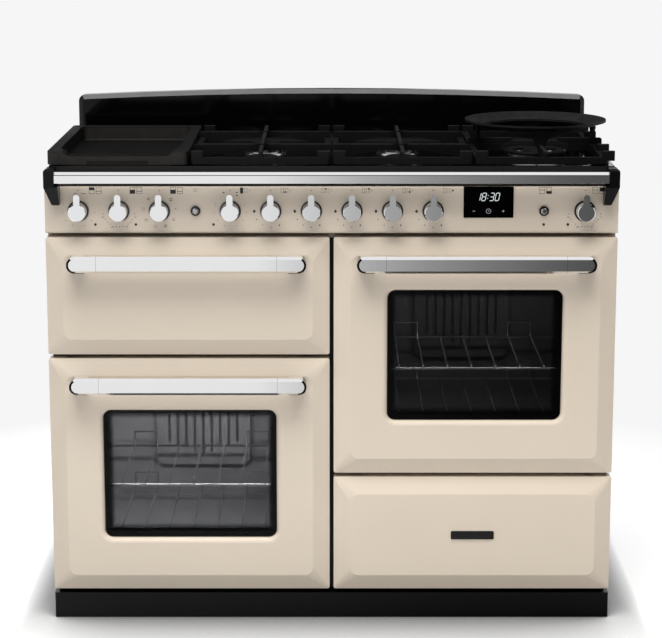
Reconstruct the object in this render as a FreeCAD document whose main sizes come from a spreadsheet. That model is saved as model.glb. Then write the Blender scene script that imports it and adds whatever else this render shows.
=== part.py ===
import FreeCAD, Part
import math
import os
import re

import Sketcher

# Free-standing dual-fuel range cooker, 110 cm class, in millimetres.
# +Z is up, +X is to the right as seen from the front and the front faces -Y.
# The origin is on the floor, in the middle of the whole object's width and depth.

SIZES = {
    # overall
    "width": 1092,
    "depth": 600,
    "handle_reach": 50,
    "rim_rise": 38,
    # stack of fronts
    "plinth_height": 51,
    "door_base": 59.5,
    "tall_door": 465,
    "short_door": 228.5,
    "door_gap": 8,
    "column_gap": 8,
    "panel_height": 91,
    # pressed fronts
    "bevel_width": 32,
    "bevel_rise": 15,
    "bevel_radius": 18,
    "front_radius": 4,
    "edge_depth": 26,
    "skin": 2,
    "window_width": 336,
    "window_sill": 107,
    "window_drop": 101,
    "window_radius": 16,
    "window_return": 12,
    "window_roll": 11,
    "glass": 4,
    "glass_lap": 12,
    "liner_depth": 8,
    # hinges
    "hinge_inset": 10,
    "hinge_rise": 22,
    "hinge_pin": 3,
    "hinge_arm": 8,
    "hinge_tall": 10,
    "hinge_side": 42,
    "running": 0.06,
    # handles
    "handle_length": 454,
    "handle_tall": 32,
    "handle_drop": 46,
    "handle_bar": 16,
    "handle_end": 56,
    "handle_post": 34,
    "handle_bevel": 5,
    # chassis
    "frame_set_back": 38,
    "frame_sheet": 3,
    "side_inset": 4,
    "sheet": 2,
    "foot_height": 25,
    "foot_radius": 20,
    # ovens
    "oven_side": 51,
    "oven_top": 55,
    "oven_depth": 400,
    "oven_rise": 65,
    "oven_radius": 14,
    "grill_top": 44.5,
    "grill_depth": 400,
    "grill_rise": 52,
    "liner_sheet": 2,
    "seal_width": 8,
    "seal_gap": 0.3,
    "wire": 2.5,
    "shelf_wire": 3,
    "bar_wire": 1.8,
    "bar_pitch": 47.4,
    "stop_height": 32,
    "rack_first": 31,
    "rack_pitch": 45,
    "rack_front": 30,
    "rack_depth": 300,
    "rack_gap": 0.2,
    "wall_gap": 4,
    "fan_cover": 200,
    "fan_cover_depth": 18,
    "pan_height": 40,
    # drawer
    "drawer_rear": 130,
    "drawer_clear": 78.5,
    "runner_width": 12,
    "runner_height": 40,
    "runner_clearance": 0.3,
    "strip_length": 120,
    "badge_width": 84,
    "badge_height": 16.5,
    "badge_thickness": 2,
    # control panel
    "panel_depth": 30,
    "knob_height": 43,
    "knob_pitch": 77.2,
    "knob_inset": 64,
    "knob_radius": 17,
    "knob_reach": 35,
    "knob_finger": 12,
    "knob_depth": 30,
    "knob_plate": 8,
    "spindle": 4,
    "bezel_radius": 20.5,
    "bezel_depth": 3,
    "lamp_radius": 2.4,
    "button_radius": 6,
    "button_bezel": 9.5,
    "button_travel": 3,
    "light_gap": 68.6,
    "button_inset": 142,
    "clock_inset": 295,
    "clock_width": 95,
    "clock_height": 60,
    # handrail
    "rail_reach": 40,
    "rail_height": 24,
    "rail_depth": 25,
    "rail_drop": 31,
    "bracket_width": 20,
    "bracket_inset": 4,
    # hob
    "tray_inset": 9,
    "tray_depth": 18,
    "tray_rim": 10,
    "tray_fold": 4,
    "tray_skirt": 36,
    "rear_strip": 55,
    "support_height": 27,
    "hob_inset": 5,
    "module_gap": 4,
    "support_front": 8,
    "support_rear": 97,
    "support_frame": 12,
    "frame_tall": 13,
    "finger_width": 7,
    "burner_step": 107,
    "burner_radius": 36,
    "wok_burner_radius": 62,
    "cradle_radius": 140,
    "cradle_throat": 101,
    "cradle_height": 38,
    "griddle_gap": 2.5,
    "griddle_over": 2,
    "griddle_front": 38,
    "griddle_side": 20,
    "griddle_rear": 23,
    "griddle_corner": 34,
    "griddle_deep": 30,
    "griddle_wall": 6,
    "griddle_dip": 9,
    # splashback
    "splash_inset": 5,
    "splash_height": 80,
    "splash_rise": 13,
    "splash_thick": 30,
    "splash_bevel": 9,
    "splash_corner": 14,
    # services at the rear
    "gas_pipe": 9,
    "inlet_radius": 14,
    "inlet_bore": 9.3,
    "inlet_inset": 50,
    "terminal_side": 400,
    "terminal_level": 650,
    "cable_entry": 10,
}

# These follow the sizes above.
TIED_SIZES = {
    "hob_height": (
        "door_base + tall_door + short_door + 2 * door_gap + panel_height + rim_rise + support_height"
    ),
    "window_height": "tall_door - window_drop - window_sill",
    "oven_width": "(width - column_gap) / 2 - 2 * oven_side",
    "oven_height": "tall_door - oven_rise - oven_top",
    "grill_height": "short_door - grill_rise - grill_top",
    "drawer_wall": "short_door - drawer_clear",
    "drawer_depth": "depth - drawer_rear",
    "knob_side": "width / 2 - knob_inset",
    "light_button": "knob_side - 2 * knob_pitch - light_gap",
    "second_button": "width / 2 - button_inset",
    "clock_left": "width / 2 - clock_inset",
    "rail_level": "hob_height - support_height - rail_drop",
    "bracket_half": "width / 2 - bracket_inset",
    "rail_half": "bracket_half - bracket_width",
    "tray_half": "width / 2 - tray_inset",
    "tray_back": "depth - rear_strip",
    "support_length": "tray_back - support_front - support_rear",
    "module": "(width / 2 - hob_inset) / 2",
    "griddle_width": "module - griddle_gap",
    "griddle_length": "support_length + griddle_over",
    "splash_half": "width / 2 - splash_inset",
    "splash_end": "hob_height - support_height + splash_height",
    "inlet_side": "width / 2 - inlet_inset",
}

FRONT = "((handle_reach - depth) / 2)"
REAR = "((handle_reach + depth) / 2)"
COLUMN_X = "((width + column_gap) / 4)"
DOOR_WIDTH = "((width - column_gap) / 2)"
GRILL_BASE = "(door_base + tall_door + door_gap)"
RIGHT_BASE = "(door_base + short_door + door_gap)"
PANEL_BASE = "(door_base + tall_door + short_door + 2 * door_gap)"
PANEL_TOP = f"({PANEL_BASE} + panel_height)"
KNOB_Z = f"({PANEL_BASE} + knob_height)"
RIM = "(hob_height - support_height)"
TRAY_FLOOR = f"({RIM} - tray_depth)"
FRAME_FACE = f"({FRONT} + frame_set_back)"
LINER_FACE = f"({FRAME_FACE} + frame_sheet)"
HOB_MIDDLE = f"({FRONT} + support_front + support_length / 2)"

doc = FreeCAD.newDocument("range_cooker")
sheet = doc.addObject("Spreadsheet::Sheet", "Sizes")
cells = {**SIZES, **{alias: f"={size}" for alias, size in TIED_SIZES.items()}}
for row, (alias, size) in enumerate(cells.items(), start=1):
    sheet.set(f"A{row}", alias)
    sheet.set(f"B{row}", str(size))
    sheet.setAlias(f"B{row}", alias)
doc.recompute()

SUB_PARTS = []


def expression(text):
    """The text with each size's name pointing at its cell."""
    return re.sub(r"[a-z_]+[a-z_0-9]*", lambda m: f"Sizes.{m[0]}" if m[0] in cells else m[0], str(text))


def number(text):
    """What the text comes to now."""
    return float(sheet.evalExpression(expression(text)))


def bind(thing, name, text):
    thing.setExpression(name, expression(text))


def place(thing, x, y, z):
    bind(thing, ".Placement.Base.x", x)
    bind(thing, ".Placement.Base.y", y)
    bind(thing, ".Placement.Base.z", z)


def sub_part(thing, label):
    """Keeps the thing as a sub-part, which is written to its own file."""
    thing.Label = label
    SUB_PARTS.append(thing)
    return thing


# ---------------------------------------------------------------- solids


def box(x, y, z, x_size, y_size, z_size):
    thing = doc.addObject("Part::Box", "box")
    bind(thing, "Length", x_size)
    bind(thing, "Width", y_size)
    bind(thing, "Height", z_size)
    place(thing, x, y, z)
    return thing


ALONG = {
    "x": FreeCAD.Rotation(FreeCAD.Vector(0, 1, 0), 90),
    "y": FreeCAD.Rotation(FreeCAD.Vector(1, 0, 0), -90),
    "z": FreeCAD.Rotation(),
}


def cylinder(x, y, z, radius, length, axis="z"):
    """A cylinder that starts at the point and runs towards +X, +Y or +Z."""
    thing = doc.addObject("Part::Cylinder", "cylinder")
    thing.Placement = FreeCAD.Placement(FreeCAD.Vector(), ALONG[axis])
    bind(thing, "Radius", radius)
    bind(thing, "Height", length)
    place(thing, x, y, z)
    return thing


def wire_rod(x, y, z, radius, length, axis):
    """A thin rod with six sides, which starts at the point and runs towards +X, +Y or +Z."""
    thing = doc.addObject("Part::Prism", "rod")
    thing.Polygon = 6
    thing.Placement = FreeCAD.Placement(FreeCAD.Vector(), ALONG[axis])
    bind(thing, "Circumradius", radius)
    bind(thing, "Height", length)
    place(thing, x, y, z)
    return thing


def cut(base, *tools):
    thing = doc.addObject("Part::Cut", "cut")
    thing.Base = base
    thing.Tool = tools[0] if len(tools) == 1 else compound(*tools)
    return thing


def fuse(*parts):
    thing = doc.addObject("Part::MultiFuse", "fuse")
    thing.Shapes = list(parts)
    thing.Refine = True
    return thing


def compound(*parts):
    thing = doc.addObject("Part::Compound", "group")
    thing.Links = list(parts)
    return thing


# ---------------------------------------------------------------- sketches

# Which way a sketch's own axes point: across, up and towards whoever looks at it.
FACING = {
    "XY_Plane": FreeCAD.Rotation(),
    "XZ_Plane": FreeCAD.Rotation(FreeCAD.Vector(1, 0, 0), 90),
    "YZ_Plane": FreeCAD.Rotation(FreeCAD.Vector(1, 1, 1), 120),
}
# A plane's offset runs along its normal, which is -Y for XZ.
OFFSET_SIGN = {"XY_Plane": "", "XZ_Plane": "-", "YZ_Plane": ""}
OFFSET_AXIS = {"XY_Plane": "z", "XZ_Plane": "y", "YZ_Plane": "x"}


def sketch_on(plane, level, body=None):
    """An empty sketch at the level along the plane's normal axis, in a body or by itself."""
    if body is None:
        thing = doc.addObject("Sketcher::SketchObject", "sketch")
        thing.Placement = FreeCAD.Placement(FreeCAD.Vector(), FACING[plane])
        bind(thing, f".Placement.Base.{OFFSET_AXIS[plane]}", level)
        return thing
    thing = body.newObject("Sketcher::SketchObject", "sketch")
    origin_plane = [f for f in body.Origin.OriginFeatures if f.Role == plane][0]
    thing.AttachmentSupport = [(origin_plane, "")]
    thing.MapMode = "FlatFace"
    bind(thing, ".AttachmentOffset.Base.z", f"{OFFSET_SIGN[plane]}({level})")
    return thing


def outline(sketch, points):
    """A closed outline through the points, each (across, up) or (across, up, corner radius)."""
    corners = [FreeCAD.Vector(number(p[0]), number(p[1]), 0) for p in points]
    radii = [number(p[2]) if len(p) > 2 else 0 for p in points]
    count = len(points)
    leave, arrive = [], []
    for i, corner in enumerate(corners):
        before = (corners[i - 1] - corner).normalize()
        after = (corners[(i + 1) % count] - corner).normalize()
        back = radii[i] / math.tan(before.getAngle(after) / 2) if radii[i] else 0
        arrive.append(corner + before * back)
        leave.append(corner + after * back)
    lines = [Part.LineSegment(leave[i], arrive[(i + 1) % count]) for i in range(count)]
    first = sketch.addGeometry(lines, False)[0]
    rules = []
    bound = []

    def rule(*values, text=None):
        rules.append(Sketcher.Constraint(*values))
        if text is not None:
            bound.append((len(rules) - 1, text))

    for i, point in enumerate(points):
        here, previous = first + i, first + (i - 1) % count
        if not radii[i]:
            rule("Coincident", previous, 2, here, 1)
            rule("DistanceX", -1, 1, here, 1, corners[i].x, text=point[0])
            rule("DistanceY", -1, 1, here, 1, corners[i].y, text=point[1])
            continue
        before = (arrive[i] - corners[i]).normalize()
        after = (leave[i] - corners[i]).normalize()
        middle_way = (before + after).normalize()
        reach = radii[i] / math.sin(before.getAngle(after) / 2)
        centre = corners[i] + middle_way * reach
        arc = Part.Arc(arrive[i], centre - middle_way * radii[i], leave[i])
        curve = sketch.addGeometry(arc, False)
        turns_left = before.cross(after).z < 0
        start, end = (1, 2) if turns_left else (2, 1)
        mark = sketch.addGeometry(Part.Point(corners[i]), True)
        rule("DistanceX", -1, 1, mark, 1, corners[i].x, text=point[0])
        rule("DistanceY", -1, 1, mark, 1, corners[i].y, text=point[1])
        rule("PointOnObject", mark, 1, previous)
        rule("PointOnObject", mark, 1, here)
        rule("Tangent", previous, 2, curve, start)
        rule("Tangent", curve, end, here, 1)
        rule("Radius", curve, radii[i], text=point[2])
    base = len(sketch.Constraints)
    sketch.addConstraint(rules)
    for index, text in bound:
        bind(sketch, f"Constraints[{base + index}]", text)
    return sketch


def rectangle(sketch, left, right, bottom, top, radius=0):
    ends = [(left, bottom), (right, bottom), (right, top), (left, top)]
    return outline(sketch, [(*e, radius) for e in ends] if radius else ends)


def disc(sketch, x, y, radius):
    circle = Part.Circle(FreeCAD.Vector(number(x), number(y), 0), FreeCAD.Vector(0, 0, 1), number(radius))
    index = sketch.addGeometry(circle, False)
    for kind, values, text in (
        ("DistanceX", (-1, 1, index, 3, number(x)), x),
        ("DistanceY", (-1, 1, index, 3, number(y)), y),
        ("Radius", (index, number(radius)), radius),
    ):
        at = sketch.addConstraint(Sketcher.Constraint(kind, *values))
        bind(sketch, f"Constraints[{at}]", text)
    return sketch


def extrude(sketch, length, direction):
    """A solid from a sketch that stands by itself."""
    thing = doc.addObject("Part::Extrusion", "extrusion")
    thing.Base = sketch
    thing.DirMode = "Custom"
    thing.Dir = FreeCAD.Vector(*direction)
    thing.Solid = True
    bind(thing, "LengthFwd", length)
    return thing


def plate(plane, level, thickness, points):
    """A flat plate of the outline, which grows from the level towards +X, +Y or +Z."""
    direction = {"XY_Plane": (0, 0, 1), "XZ_Plane": (0, 1, 0), "YZ_Plane": (1, 0, 0)}[plane]
    return extrude(outline(sketch_on(plane, level), points), thickness, direction)


def rounded(left, right, bottom, top, radius):
    return [(left, bottom, radius), (right, bottom, radius), (right, top, radius), (left, top, radius)]


def turned(points, x, y):
    """A solid of revolution about the vertical line at x, y, from (radius, height) points."""
    profile = outline(sketch_on("XZ_Plane", "0"), points)
    thing = doc.addObject("Part::Revolution", "turned")
    thing.Source = profile
    thing.Axis = FreeCAD.Vector(0, 0, 1)
    thing.Angle = 360
    thing.Solid = True
    place(thing, x, y, "0")
    return thing


# ---------------------------------------------------------------- features of a body


def new_body(name):
    return doc.addObject("PartDesign::Body", name)


def pad(body, sketch, length, reverse=False, both=False):
    thing = body.newObject("PartDesign::Pad", "pad")
    thing.Profile = sketch
    bind(thing, "Length", length)
    thing.Reversed = reverse
    thing.Midplane = both
    return thing


def pocket(body, sketch, length=None, reverse=False, both=False):
    thing = body.newObject("PartDesign::Pocket", "pocket")
    thing.Profile = sketch
    if length is None:
        thing.Type = "ThroughAll"
    else:
        bind(thing, "Length", length)
    thing.Reversed = reverse
    thing.Midplane = both
    return thing


def loft(body, first, last, subtract=False):
    kind = "PartDesign::SubtractiveLoft" if subtract else "PartDesign::AdditiveLoft"
    thing = body.newObject(kind, "loft")
    thing.Profile = first
    thing.Sections = [last]
    thing.Ruled = True
    return thing


def spin(body, sketch, axis="Z_Axis", subtract=False):
    kind = "PartDesign::Groove" if subtract else "PartDesign::Revolution"
    thing = body.newObject(kind, "spin")
    thing.Profile = sketch
    thing.ReferenceAxis = ([f for f in body.Origin.OriginFeatures if f.Role == axis][0], [""])
    thing.Angle = 360
    return thing


def polar(body, feature, count):
    thing = body.newObject("PartDesign::PolarPattern", "polar")
    thing.Originals = [feature]
    thing.Axis = ([f for f in body.Origin.OriginFeatures if f.Role == "Z_Axis"][0], [""])
    thing.Angle = 360
    thing.Occurrences = count
    body.Tip = thing
    return thing


def mirrored(body, features, plane):
    thing = body.newObject("PartDesign::Mirrored", "mirror")
    thing.Originals = features
    thing.MirrorPlane = ([f for f in body.Origin.OriginFeatures if f.Role == plane][0], [""])
    body.Tip = thing
    return thing


def edges_where(feature, test):
    """The names of the feature's edges whose two ends and middle pass the test."""
    doc.recompute()
    names = []
    for index, edge in enumerate(feature.Shape.Edges, start=1):
        points = [v.Point for v in edge.Vertexes] + [edge.valueAt((edge.FirstParameter + edge.LastParameter) / 2)]
        if all(test(p) for p in points):
            names.append(f"Edge{index}")
    return names


def soften(body, kind, feature, size, test):
    """A fillet or chamfer on the edges that pass the test."""
    thing = body.newObject(f"PartDesign::{kind}", kind.lower())
    thing.Base = (feature, edges_where(feature, test))
    bind(thing, "Radius" if kind == "Fillet" else "Size", size)
    return thing


def near(a, b):
    return abs(a - b) < 0.01


# ---------------------------------------------------------------- pressed fronts

COLUMNS = {"left": f"(0 - {COLUMN_X})", "right": COLUMN_X}


def pressed_front(name, column, base, height, window=False, notches=False):
    """A pressed steel front: a hollow shell with a raised, bevelled middle and perhaps a window."""
    body = new_body(name)
    middle = COLUMNS[column]
    left, right = f"({middle} - {DOOR_WIDTH} / 2)", f"({middle} + {DOOR_WIDTH} / 2)"
    top = f"({base} + {height})"

    def sheet_outline(level, inset, radius):
        return rectangle(
            sketch_on("XZ_Plane", level, body),
            f"{left} + {inset}",
            f"{right} - {inset}",
            f"{base} + {inset}",
            f"{top} - {inset}",
            radius,
        )

    back = f"{FRONT} + edge_depth"
    pad(body, sheet_outline(back, "0", "front_radius"), "edge_depth")
    outer = loft(
        body,
        sheet_outline(FRONT, "0", "front_radius"),
        sheet_outline(f"{FRONT} - bevel_rise", "bevel_width", "bevel_radius"),
    )
    raised = number(f"{FRONT} - bevel_rise")
    outer = soften(body, "Fillet", outer, "bevel_rise / 3", lambda p: near(p.y, raised))
    inner_radius = "(front_radius - skin / 2)"
    pocket(body, sheet_outline(back, "skin", inner_radius), "edge_depth - skin / 2", reverse=True)
    hollow = loft(
        body,
        sheet_outline(f"{FRONT} + skin / 2", "skin", inner_radius),
        sheet_outline(f"{FRONT} - bevel_rise + skin", "bevel_width + skin / 2", "bevel_radius"),
        subtract=True,
    )
    last = hollow
    if window:
        low = f"({top} - window_drop - window_height)"
        high = f"({top} - window_drop)"
        sides = f"({middle} - window_width / 2)", f"({middle} + window_width / 2)"
        flange = rectangle(
            sketch_on("XZ_Plane", f"{FRONT} - bevel_rise + window_return", body),
            f"{sides[0]} - window_roll",
            f"{sides[1]} + window_roll",
            f"{low} - window_roll",
            f"{high} + window_roll",
            "window_radius + window_roll",
        )
        pad(body, flange, "window_return - skin / 2")
        hole = rectangle(sketch_on("XZ_Plane", FRONT, body), *sides, low, high, "window_radius")
        last = pocket(body, hole, both=True)
        inside = number(sides[0]) - 0.1, number(sides[1]) + 0.1

        def on_mouth(p):
            return near(p.y, raised) and inside[0] < p.x < inside[1] and number(low) - 0.1 < p.z < number(high) + 0.1

        last = soften(body, "Fillet", last, "window_roll - 1", on_mouth)
    if notches:
        for side in ("-", "+"):
            at = f"({middle} {side} ({DOOR_WIDTH} / 2 - hinge_side))"
            gap = rectangle(
                sketch_on("XZ_Plane", back, body),
                f"{at} - hinge_arm",
                f"{at} + hinge_arm",
                f"{base} - 1",
                f"{base} + skin + 1",
            )
            last = pocket(body, gap, "edge_depth - skin", reverse=True)
    body.Tip = last
    return sub_part(body, name)


def door_liner(name, column, base, height, window=False):
    """The door's inner panel, with the hinge lugs that ride on the pins and a rebate for the inner glass."""
    middle = COLUMNS[column]
    level = f"({base} + hinge_rise)"
    top = f"({base} + {height} - skin / 2)"
    near_face = f"({FRONT} + edge_depth)"
    side = f"({DOOR_WIDTH} / 2 - skin / 2)"
    panel = plate(
        "XZ_Plane",
        near_face,
        "liner_depth",
        rounded(f"{middle} - {side}", f"{middle} + {side}", f"{level} + hinge_tall / 2 + 1", top, "6"),
    )
    lugs = []
    for sign in ("-", "+"):
        at = f"({middle} {sign} ({DOOR_WIDTH} / 2 - hinge_side))"
        for start in (f"{at} - hinge_arm / 2 - 6.5", f"{at} + hinge_arm / 2 + 0.5"):
            profile = [
                (f"{FRONT} + hinge_inset - 6", f"{level} - 6", "5"),
                (f"{near_face} + liner_depth", f"{level} - 3"),
                (f"{near_face} + liner_depth", f"{level} + 14"),
                (f"{near_face} - 2", f"{level} + 14"),
                (f"{FRONT} + hinge_inset - 6", f"{level} + 7", "5"),
            ]
            lugs.append(plate("YZ_Plane", start, "6", profile))
    solid = fuse(panel, *lugs)
    tools = [
        cylinder(
            f"{middle} - {DOOR_WIDTH} / 2", f"{FRONT} + hinge_inset", level, "hinge_pin + running", DOOR_WIDTH, "x"
        )
    ]
    if window:
        low = f"({base} + {height} - window_drop - window_height)"
        high = f"({base} + {height} - window_drop)"
        sides = f"({middle} - window_width / 2)", f"({middle} + window_width / 2)"
        hole = rounded(sides[0], sides[1], low, high, "window_radius")
        lap = rounded(
            f"{sides[0]} - glass_lap",
            f"{sides[1]} + glass_lap",
            f"{low} - glass_lap",
            f"{high} + glass_lap",
            "window_radius",
        )
        tools.append(plate("XZ_Plane", f"{near_face} - 1", "liner_depth + 2", hole))
        tools.append(plate("XZ_Plane", f"{near_face} + liner_depth - glass", "glass + 1", lap))
    return sub_part(cut(solid, *tools), name)


def door_glass(name, column, base, height):
    """The outer pane behind the window's rolled edge, and the inner pane in the liner's rebate."""
    middle = COLUMNS[column]
    low = f"({base} + {height} - window_drop - window_height - glass_lap)"
    high = f"({base} + {height} - window_drop + glass_lap)"
    half = "(window_width / 2 + glass_lap)"
    pane = rounded(f"{middle} - {half}", f"{middle} + {half}", low, high, "window_radius")
    outer = plate("XZ_Plane", f"{FRONT} - bevel_rise + window_return", "glass", pane)
    inner = plate("XZ_Plane", f"{FRONT} + edge_depth + liner_depth - glass", "glass", pane)
    return sub_part(compound(outer, inner), name)


def door_handle(name, column, base, height):
    """A flat-fronted bar between two end pieces whose posts stand on the door's raised middle."""
    middle = COLUMNS[column]
    level = f"({base} + {height} - handle_drop)"
    low, high = f"({level} - handle_tall / 2)", f"({level} + handle_tall / 2)"
    front = f"({FRONT} - handle_reach)"
    bar_profile = [
        (front, f"{low} + handle_bevel"),
        (f"{front} + handle_bevel", low),
        (f"{front} + handle_bar", low),
        (f"{front} + handle_bar", high),
        (f"{front} + handle_bevel", high),
        (front, f"{high} - handle_bevel"),
    ]
    half = "(handle_length / 2)"
    bar = plate(
        "YZ_Plane", f"{middle} - {half} + handle_end", "handle_length - 2 * handle_end", bar_profile
    )
    ends = []
    post_profile = [
        (front, f"{low} + handle_bevel"),
        (f"{front} + handle_bevel", low),
        (f"{FRONT} - bevel_rise", low),
        (f"{FRONT} - bevel_rise", high),
        (f"{front} + handle_bevel", high),
        (front, f"{high} - handle_bevel"),
    ]
    for start, tip, inner in (
        (f"{middle} - {half}", f"{middle} - {half}", f"{middle} - {half} + handle_end"),
        (f"{middle} + {half} - handle_end", f"{middle} + {half}", f"{middle} + {half} - handle_end"),
    ):
        body = plate("YZ_Plane", start, "handle_end", post_profile)
        round_end = plate(
            "XZ_Plane",
            f"{front} - 1",
            "handle_reach + 2",
            [
                (inner, low),
                (tip, low, "handle_tall / 2 - 0.1"),
                (tip, high, "handle_tall / 2 - 0.1"),
                (inner, high),
            ],
        )
        post_end = f"{tip} + handle_post" if start == tip else f"{tip} - handle_post"
        relief_from = f"{tip} + handle_post" if start == tip else f"{tip} - handle_end - 1"
        relief = box(
            relief_from,
            f"{front} + handle_bar",
            f"{low} - 1",
            "handle_end - handle_post + 1",
            "handle_reach",
            "handle_tall + 2",
        )
        shaped = doc.addObject("Part::Common", "end_piece")
        shaped.Base = body
        shaped.Tool = round_end
        ends.append(cut(shaped, relief))
    return sub_part(compound(bar, *ends), name)


pressed_front("grill_door_panel", "left", GRILL_BASE, "short_door", notches=True)
pressed_front("left_door_panel", "left", "door_base", "tall_door", window=True, notches=True)
pressed_front("right_door_panel", "right", RIGHT_BASE, "tall_door", window=True, notches=True)
pressed_front("drawer_front", "right", "door_base", "short_door")

door_liner("grill_door_liner", "left", GRILL_BASE, "short_door")
door_liner("left_door_liner", "left", "door_base", "tall_door", window=True)
door_liner("right_door_liner", "right", RIGHT_BASE, "tall_door", window=True)
door_glass("left_door_glass", "left", "door_base", "tall_door")
door_glass("right_door_glass", "right", RIGHT_BASE, "tall_door")
door_handle("grill_door_handle", "left", GRILL_BASE, "short_door")
door_handle("left_door_handle", "left", "door_base", "tall_door")
door_handle("right_door_handle", "right", RIGHT_BASE, "tall_door")


# ---------------------------------------------------------------- chassis

SIDE_X = "(width / 2 - side_inset)"
CHASSIS_TOP = f"({RIM} - tray_skirt)"
LEFT_MOUTH = "(door_base + oven_rise)"
RIGHT_MOUTH = f"({RIGHT_BASE} + oven_rise)"
GRILL_MOUTH = f"({GRILL_BASE} + grill_rise)"
# The drawer's box lies between two channels, one on the centre wall and one on the right side.
DRAWER_LOW = "(plinth_height + 18)"
DRAWER_LEFT = "(sheet / 2 + runner_width + 2)"
DRAWER_RIGHT = f"({SIDE_X} - sheet - runner_width - 2)"
STRIP = "(runner_width - sheet - 2)"
DRAWER_MOUTH = (f"{DRAWER_LEFT} - {STRIP} - 1", f"{DRAWER_RIGHT} + {STRIP} + 1")


def make_plinth():
    """A pressed plinth: the front board with a return along each side and a ledge that the front frame stands on."""
    reach = f"({REAR} - 60)"
    points = [
        ("0 - width / 2", FRONT, "3"),
        ("width / 2", FRONT, "3"),
        ("width / 2", reach),
        ("width / 2 - sheet", reach),
        ("width / 2 - sheet", f"{FRONT} + sheet"),
        ("sheet - width / 2", f"{FRONT} + sheet"),
        ("sheet - width / 2", reach),
        ("0 - width / 2", reach),
    ]
    board = plate("XY_Plane", "0", "plinth_height", points)
    ledge = box(
        "sheet - width / 2",
        f"{FRONT} + sheet",
        "plinth_height - sheet",
        "width - 2 * sheet",
        "frame_set_back + frame_sheet + sheet",
        "sheet",
    )
    sub_part(fuse(board, ledge), "plinth")


def make_base_frame():
    """The floor sheet on two cross channels, with the wall between the two columns."""
    floor = box(
        f"sheet - {SIDE_X}",
        LINER_FACE,
        "plinth_height",
        f"2 * ({SIDE_X} - sheet)",
        f"{REAR} - sheet - {LINER_FACE}",
        "sheet",
    )
    parts = [floor]
    for start in (f"{LINER_FACE} + 20", f"{REAR} - sheet - 60"):
        channel = [
            (start, "foot_height"),
            (f"{start} + 40", "foot_height"),
            (f"{start} + 40", "plinth_height"),
            (f"{start} + 40 - sheet", "plinth_height"),
            (f"{start} + 40 - sheet", "foot_height + sheet"),
            (f"{start} + sheet", "foot_height + sheet"),
            (f"{start} + sheet", "plinth_height"),
            (start, "plinth_height"),
        ]
        parts.append(plate("YZ_Plane", f"30 - {SIDE_X}", f"2 * ({SIDE_X} - 30)", channel))
    wall = box(
        "0 - sheet / 2",
        LINER_FACE,
        "plinth_height + sheet",
        "sheet",
        f"{REAR} - sheet - {LINER_FACE}",
        f"{PANEL_BASE} - door_gap - plinth_height - sheet",
    )
    parts.append(wall)
    sub_part(fuse(*parts), "base_frame")


def make_feet():
    feet = []
    for x in (f"70 - {SIDE_X}", f"{SIDE_X} - 70"):
        for y in (f"{LINER_FACE} + 40", f"{REAR} - sheet - 40"):
            feet.append(
                turned(
                    [
                        ("0", "0"),
                        ("foot_radius", "0"),
                        ("foot_radius", "6"),
                        ("8", "9"),
                        ("6", "9"),
                        ("6", "foot_height"),
                        ("0", "foot_height"),
                    ],
                    x,
                    y,
                )
            )
    sub_part(compound(*feet), "levelling_feet")


def make_side_panels():
    """A side sheet each side, flanged at the top to carry the hob."""
    sheets = []
    for sign in (-1, 1):
        outer = f"({sign} * {SIDE_X})"
        inner = f"({sign} * ({SIDE_X} - sheet))"
        lip = f"({sign} * ({SIDE_X} - 20))"
        points = [
            (outer, "plinth_height"),
            (inner, "plinth_height"),
            (inner, f"{CHASSIS_TOP} - sheet"),
            (lip, f"{CHASSIS_TOP} - sheet"),
            (lip, CHASSIS_TOP),
            (outer, CHASSIS_TOP),
        ]
        if sign > 0:
            points.reverse()
        sheets.append(plate("XZ_Plane", FRAME_FACE, f"{REAR} - sheet - {FRAME_FACE}", points))
    sub_part(compound(*sheets), "side_panels")


def make_rear_panel():
    """The rear sheet, with a row of vent slots above each oven and the openings for gas and power."""
    panel = box(
        f"0 - {SIDE_X}", f"{REAR} - sheet", "plinth_height", f"2 * {SIDE_X}", "sheet", f"{CHASSIS_TOP} - plinth_height"
    )
    holes = []
    for column in COLUMNS.values():
        for step in range(-3, 4):
            at = f"({column} + {step} * 50)"
            slot = rounded(
                f"{at} - 18", f"{at} + 18", f"{PANEL_BASE} - 24", f"{PANEL_BASE} - 16", "3.9"
            )
            holes.append(plate("XZ_Plane", f"{REAR} - 2 * sheet", "3 * sheet", slot))
    rear = f"({REAR} - 2 * sheet)"
    holes.append(cylinder("inlet_side", rear, KNOB_Z, "inlet_radius + 1", "3 * sheet", "y"))
    holes.append(cylinder("0 - terminal_side", rear, "terminal_level", "cable_entry", "3 * sheet", "y"))
    sub_part(cut(panel, *holes), "rear_panel")


def make_front_frame():
    """The enamelled frame behind the doors, with the oven, grill and drawer mouths cut in it."""
    frame = box(
        f"sheet - {SIDE_X}",
        FRAME_FACE,
        "plinth_height",
        f"2 * ({SIDE_X} - sheet)",
        "frame_sheet",
        f"{PANEL_BASE} - door_gap / 2 - plinth_height",
    )
    half = "(oven_width / 2)"
    mouths = []
    for column, low, height in (
        ("left", LEFT_MOUTH, "oven_height"),
        ("right", RIGHT_MOUTH, "oven_height"),
        ("left", GRILL_MOUTH, "grill_height"),
    ):
        middle = COLUMNS[column]
        mouths.append(rounded(f"{middle} - {half}", f"{middle} + {half}", low, f"{low} + {height}", "oven_radius"))
    mouths.append(rounded(DRAWER_MOUTH[0], DRAWER_MOUTH[1], DRAWER_LOW + " - 8", f"{DRAWER_LOW} + drawer_wall + 12", "4"))
    holes = [plate("XZ_Plane", f"{FRAME_FACE} - 1", "frame_sheet + 2", points) for points in mouths]
    sub_part(cut(frame, *holes), "front_frame")


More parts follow.
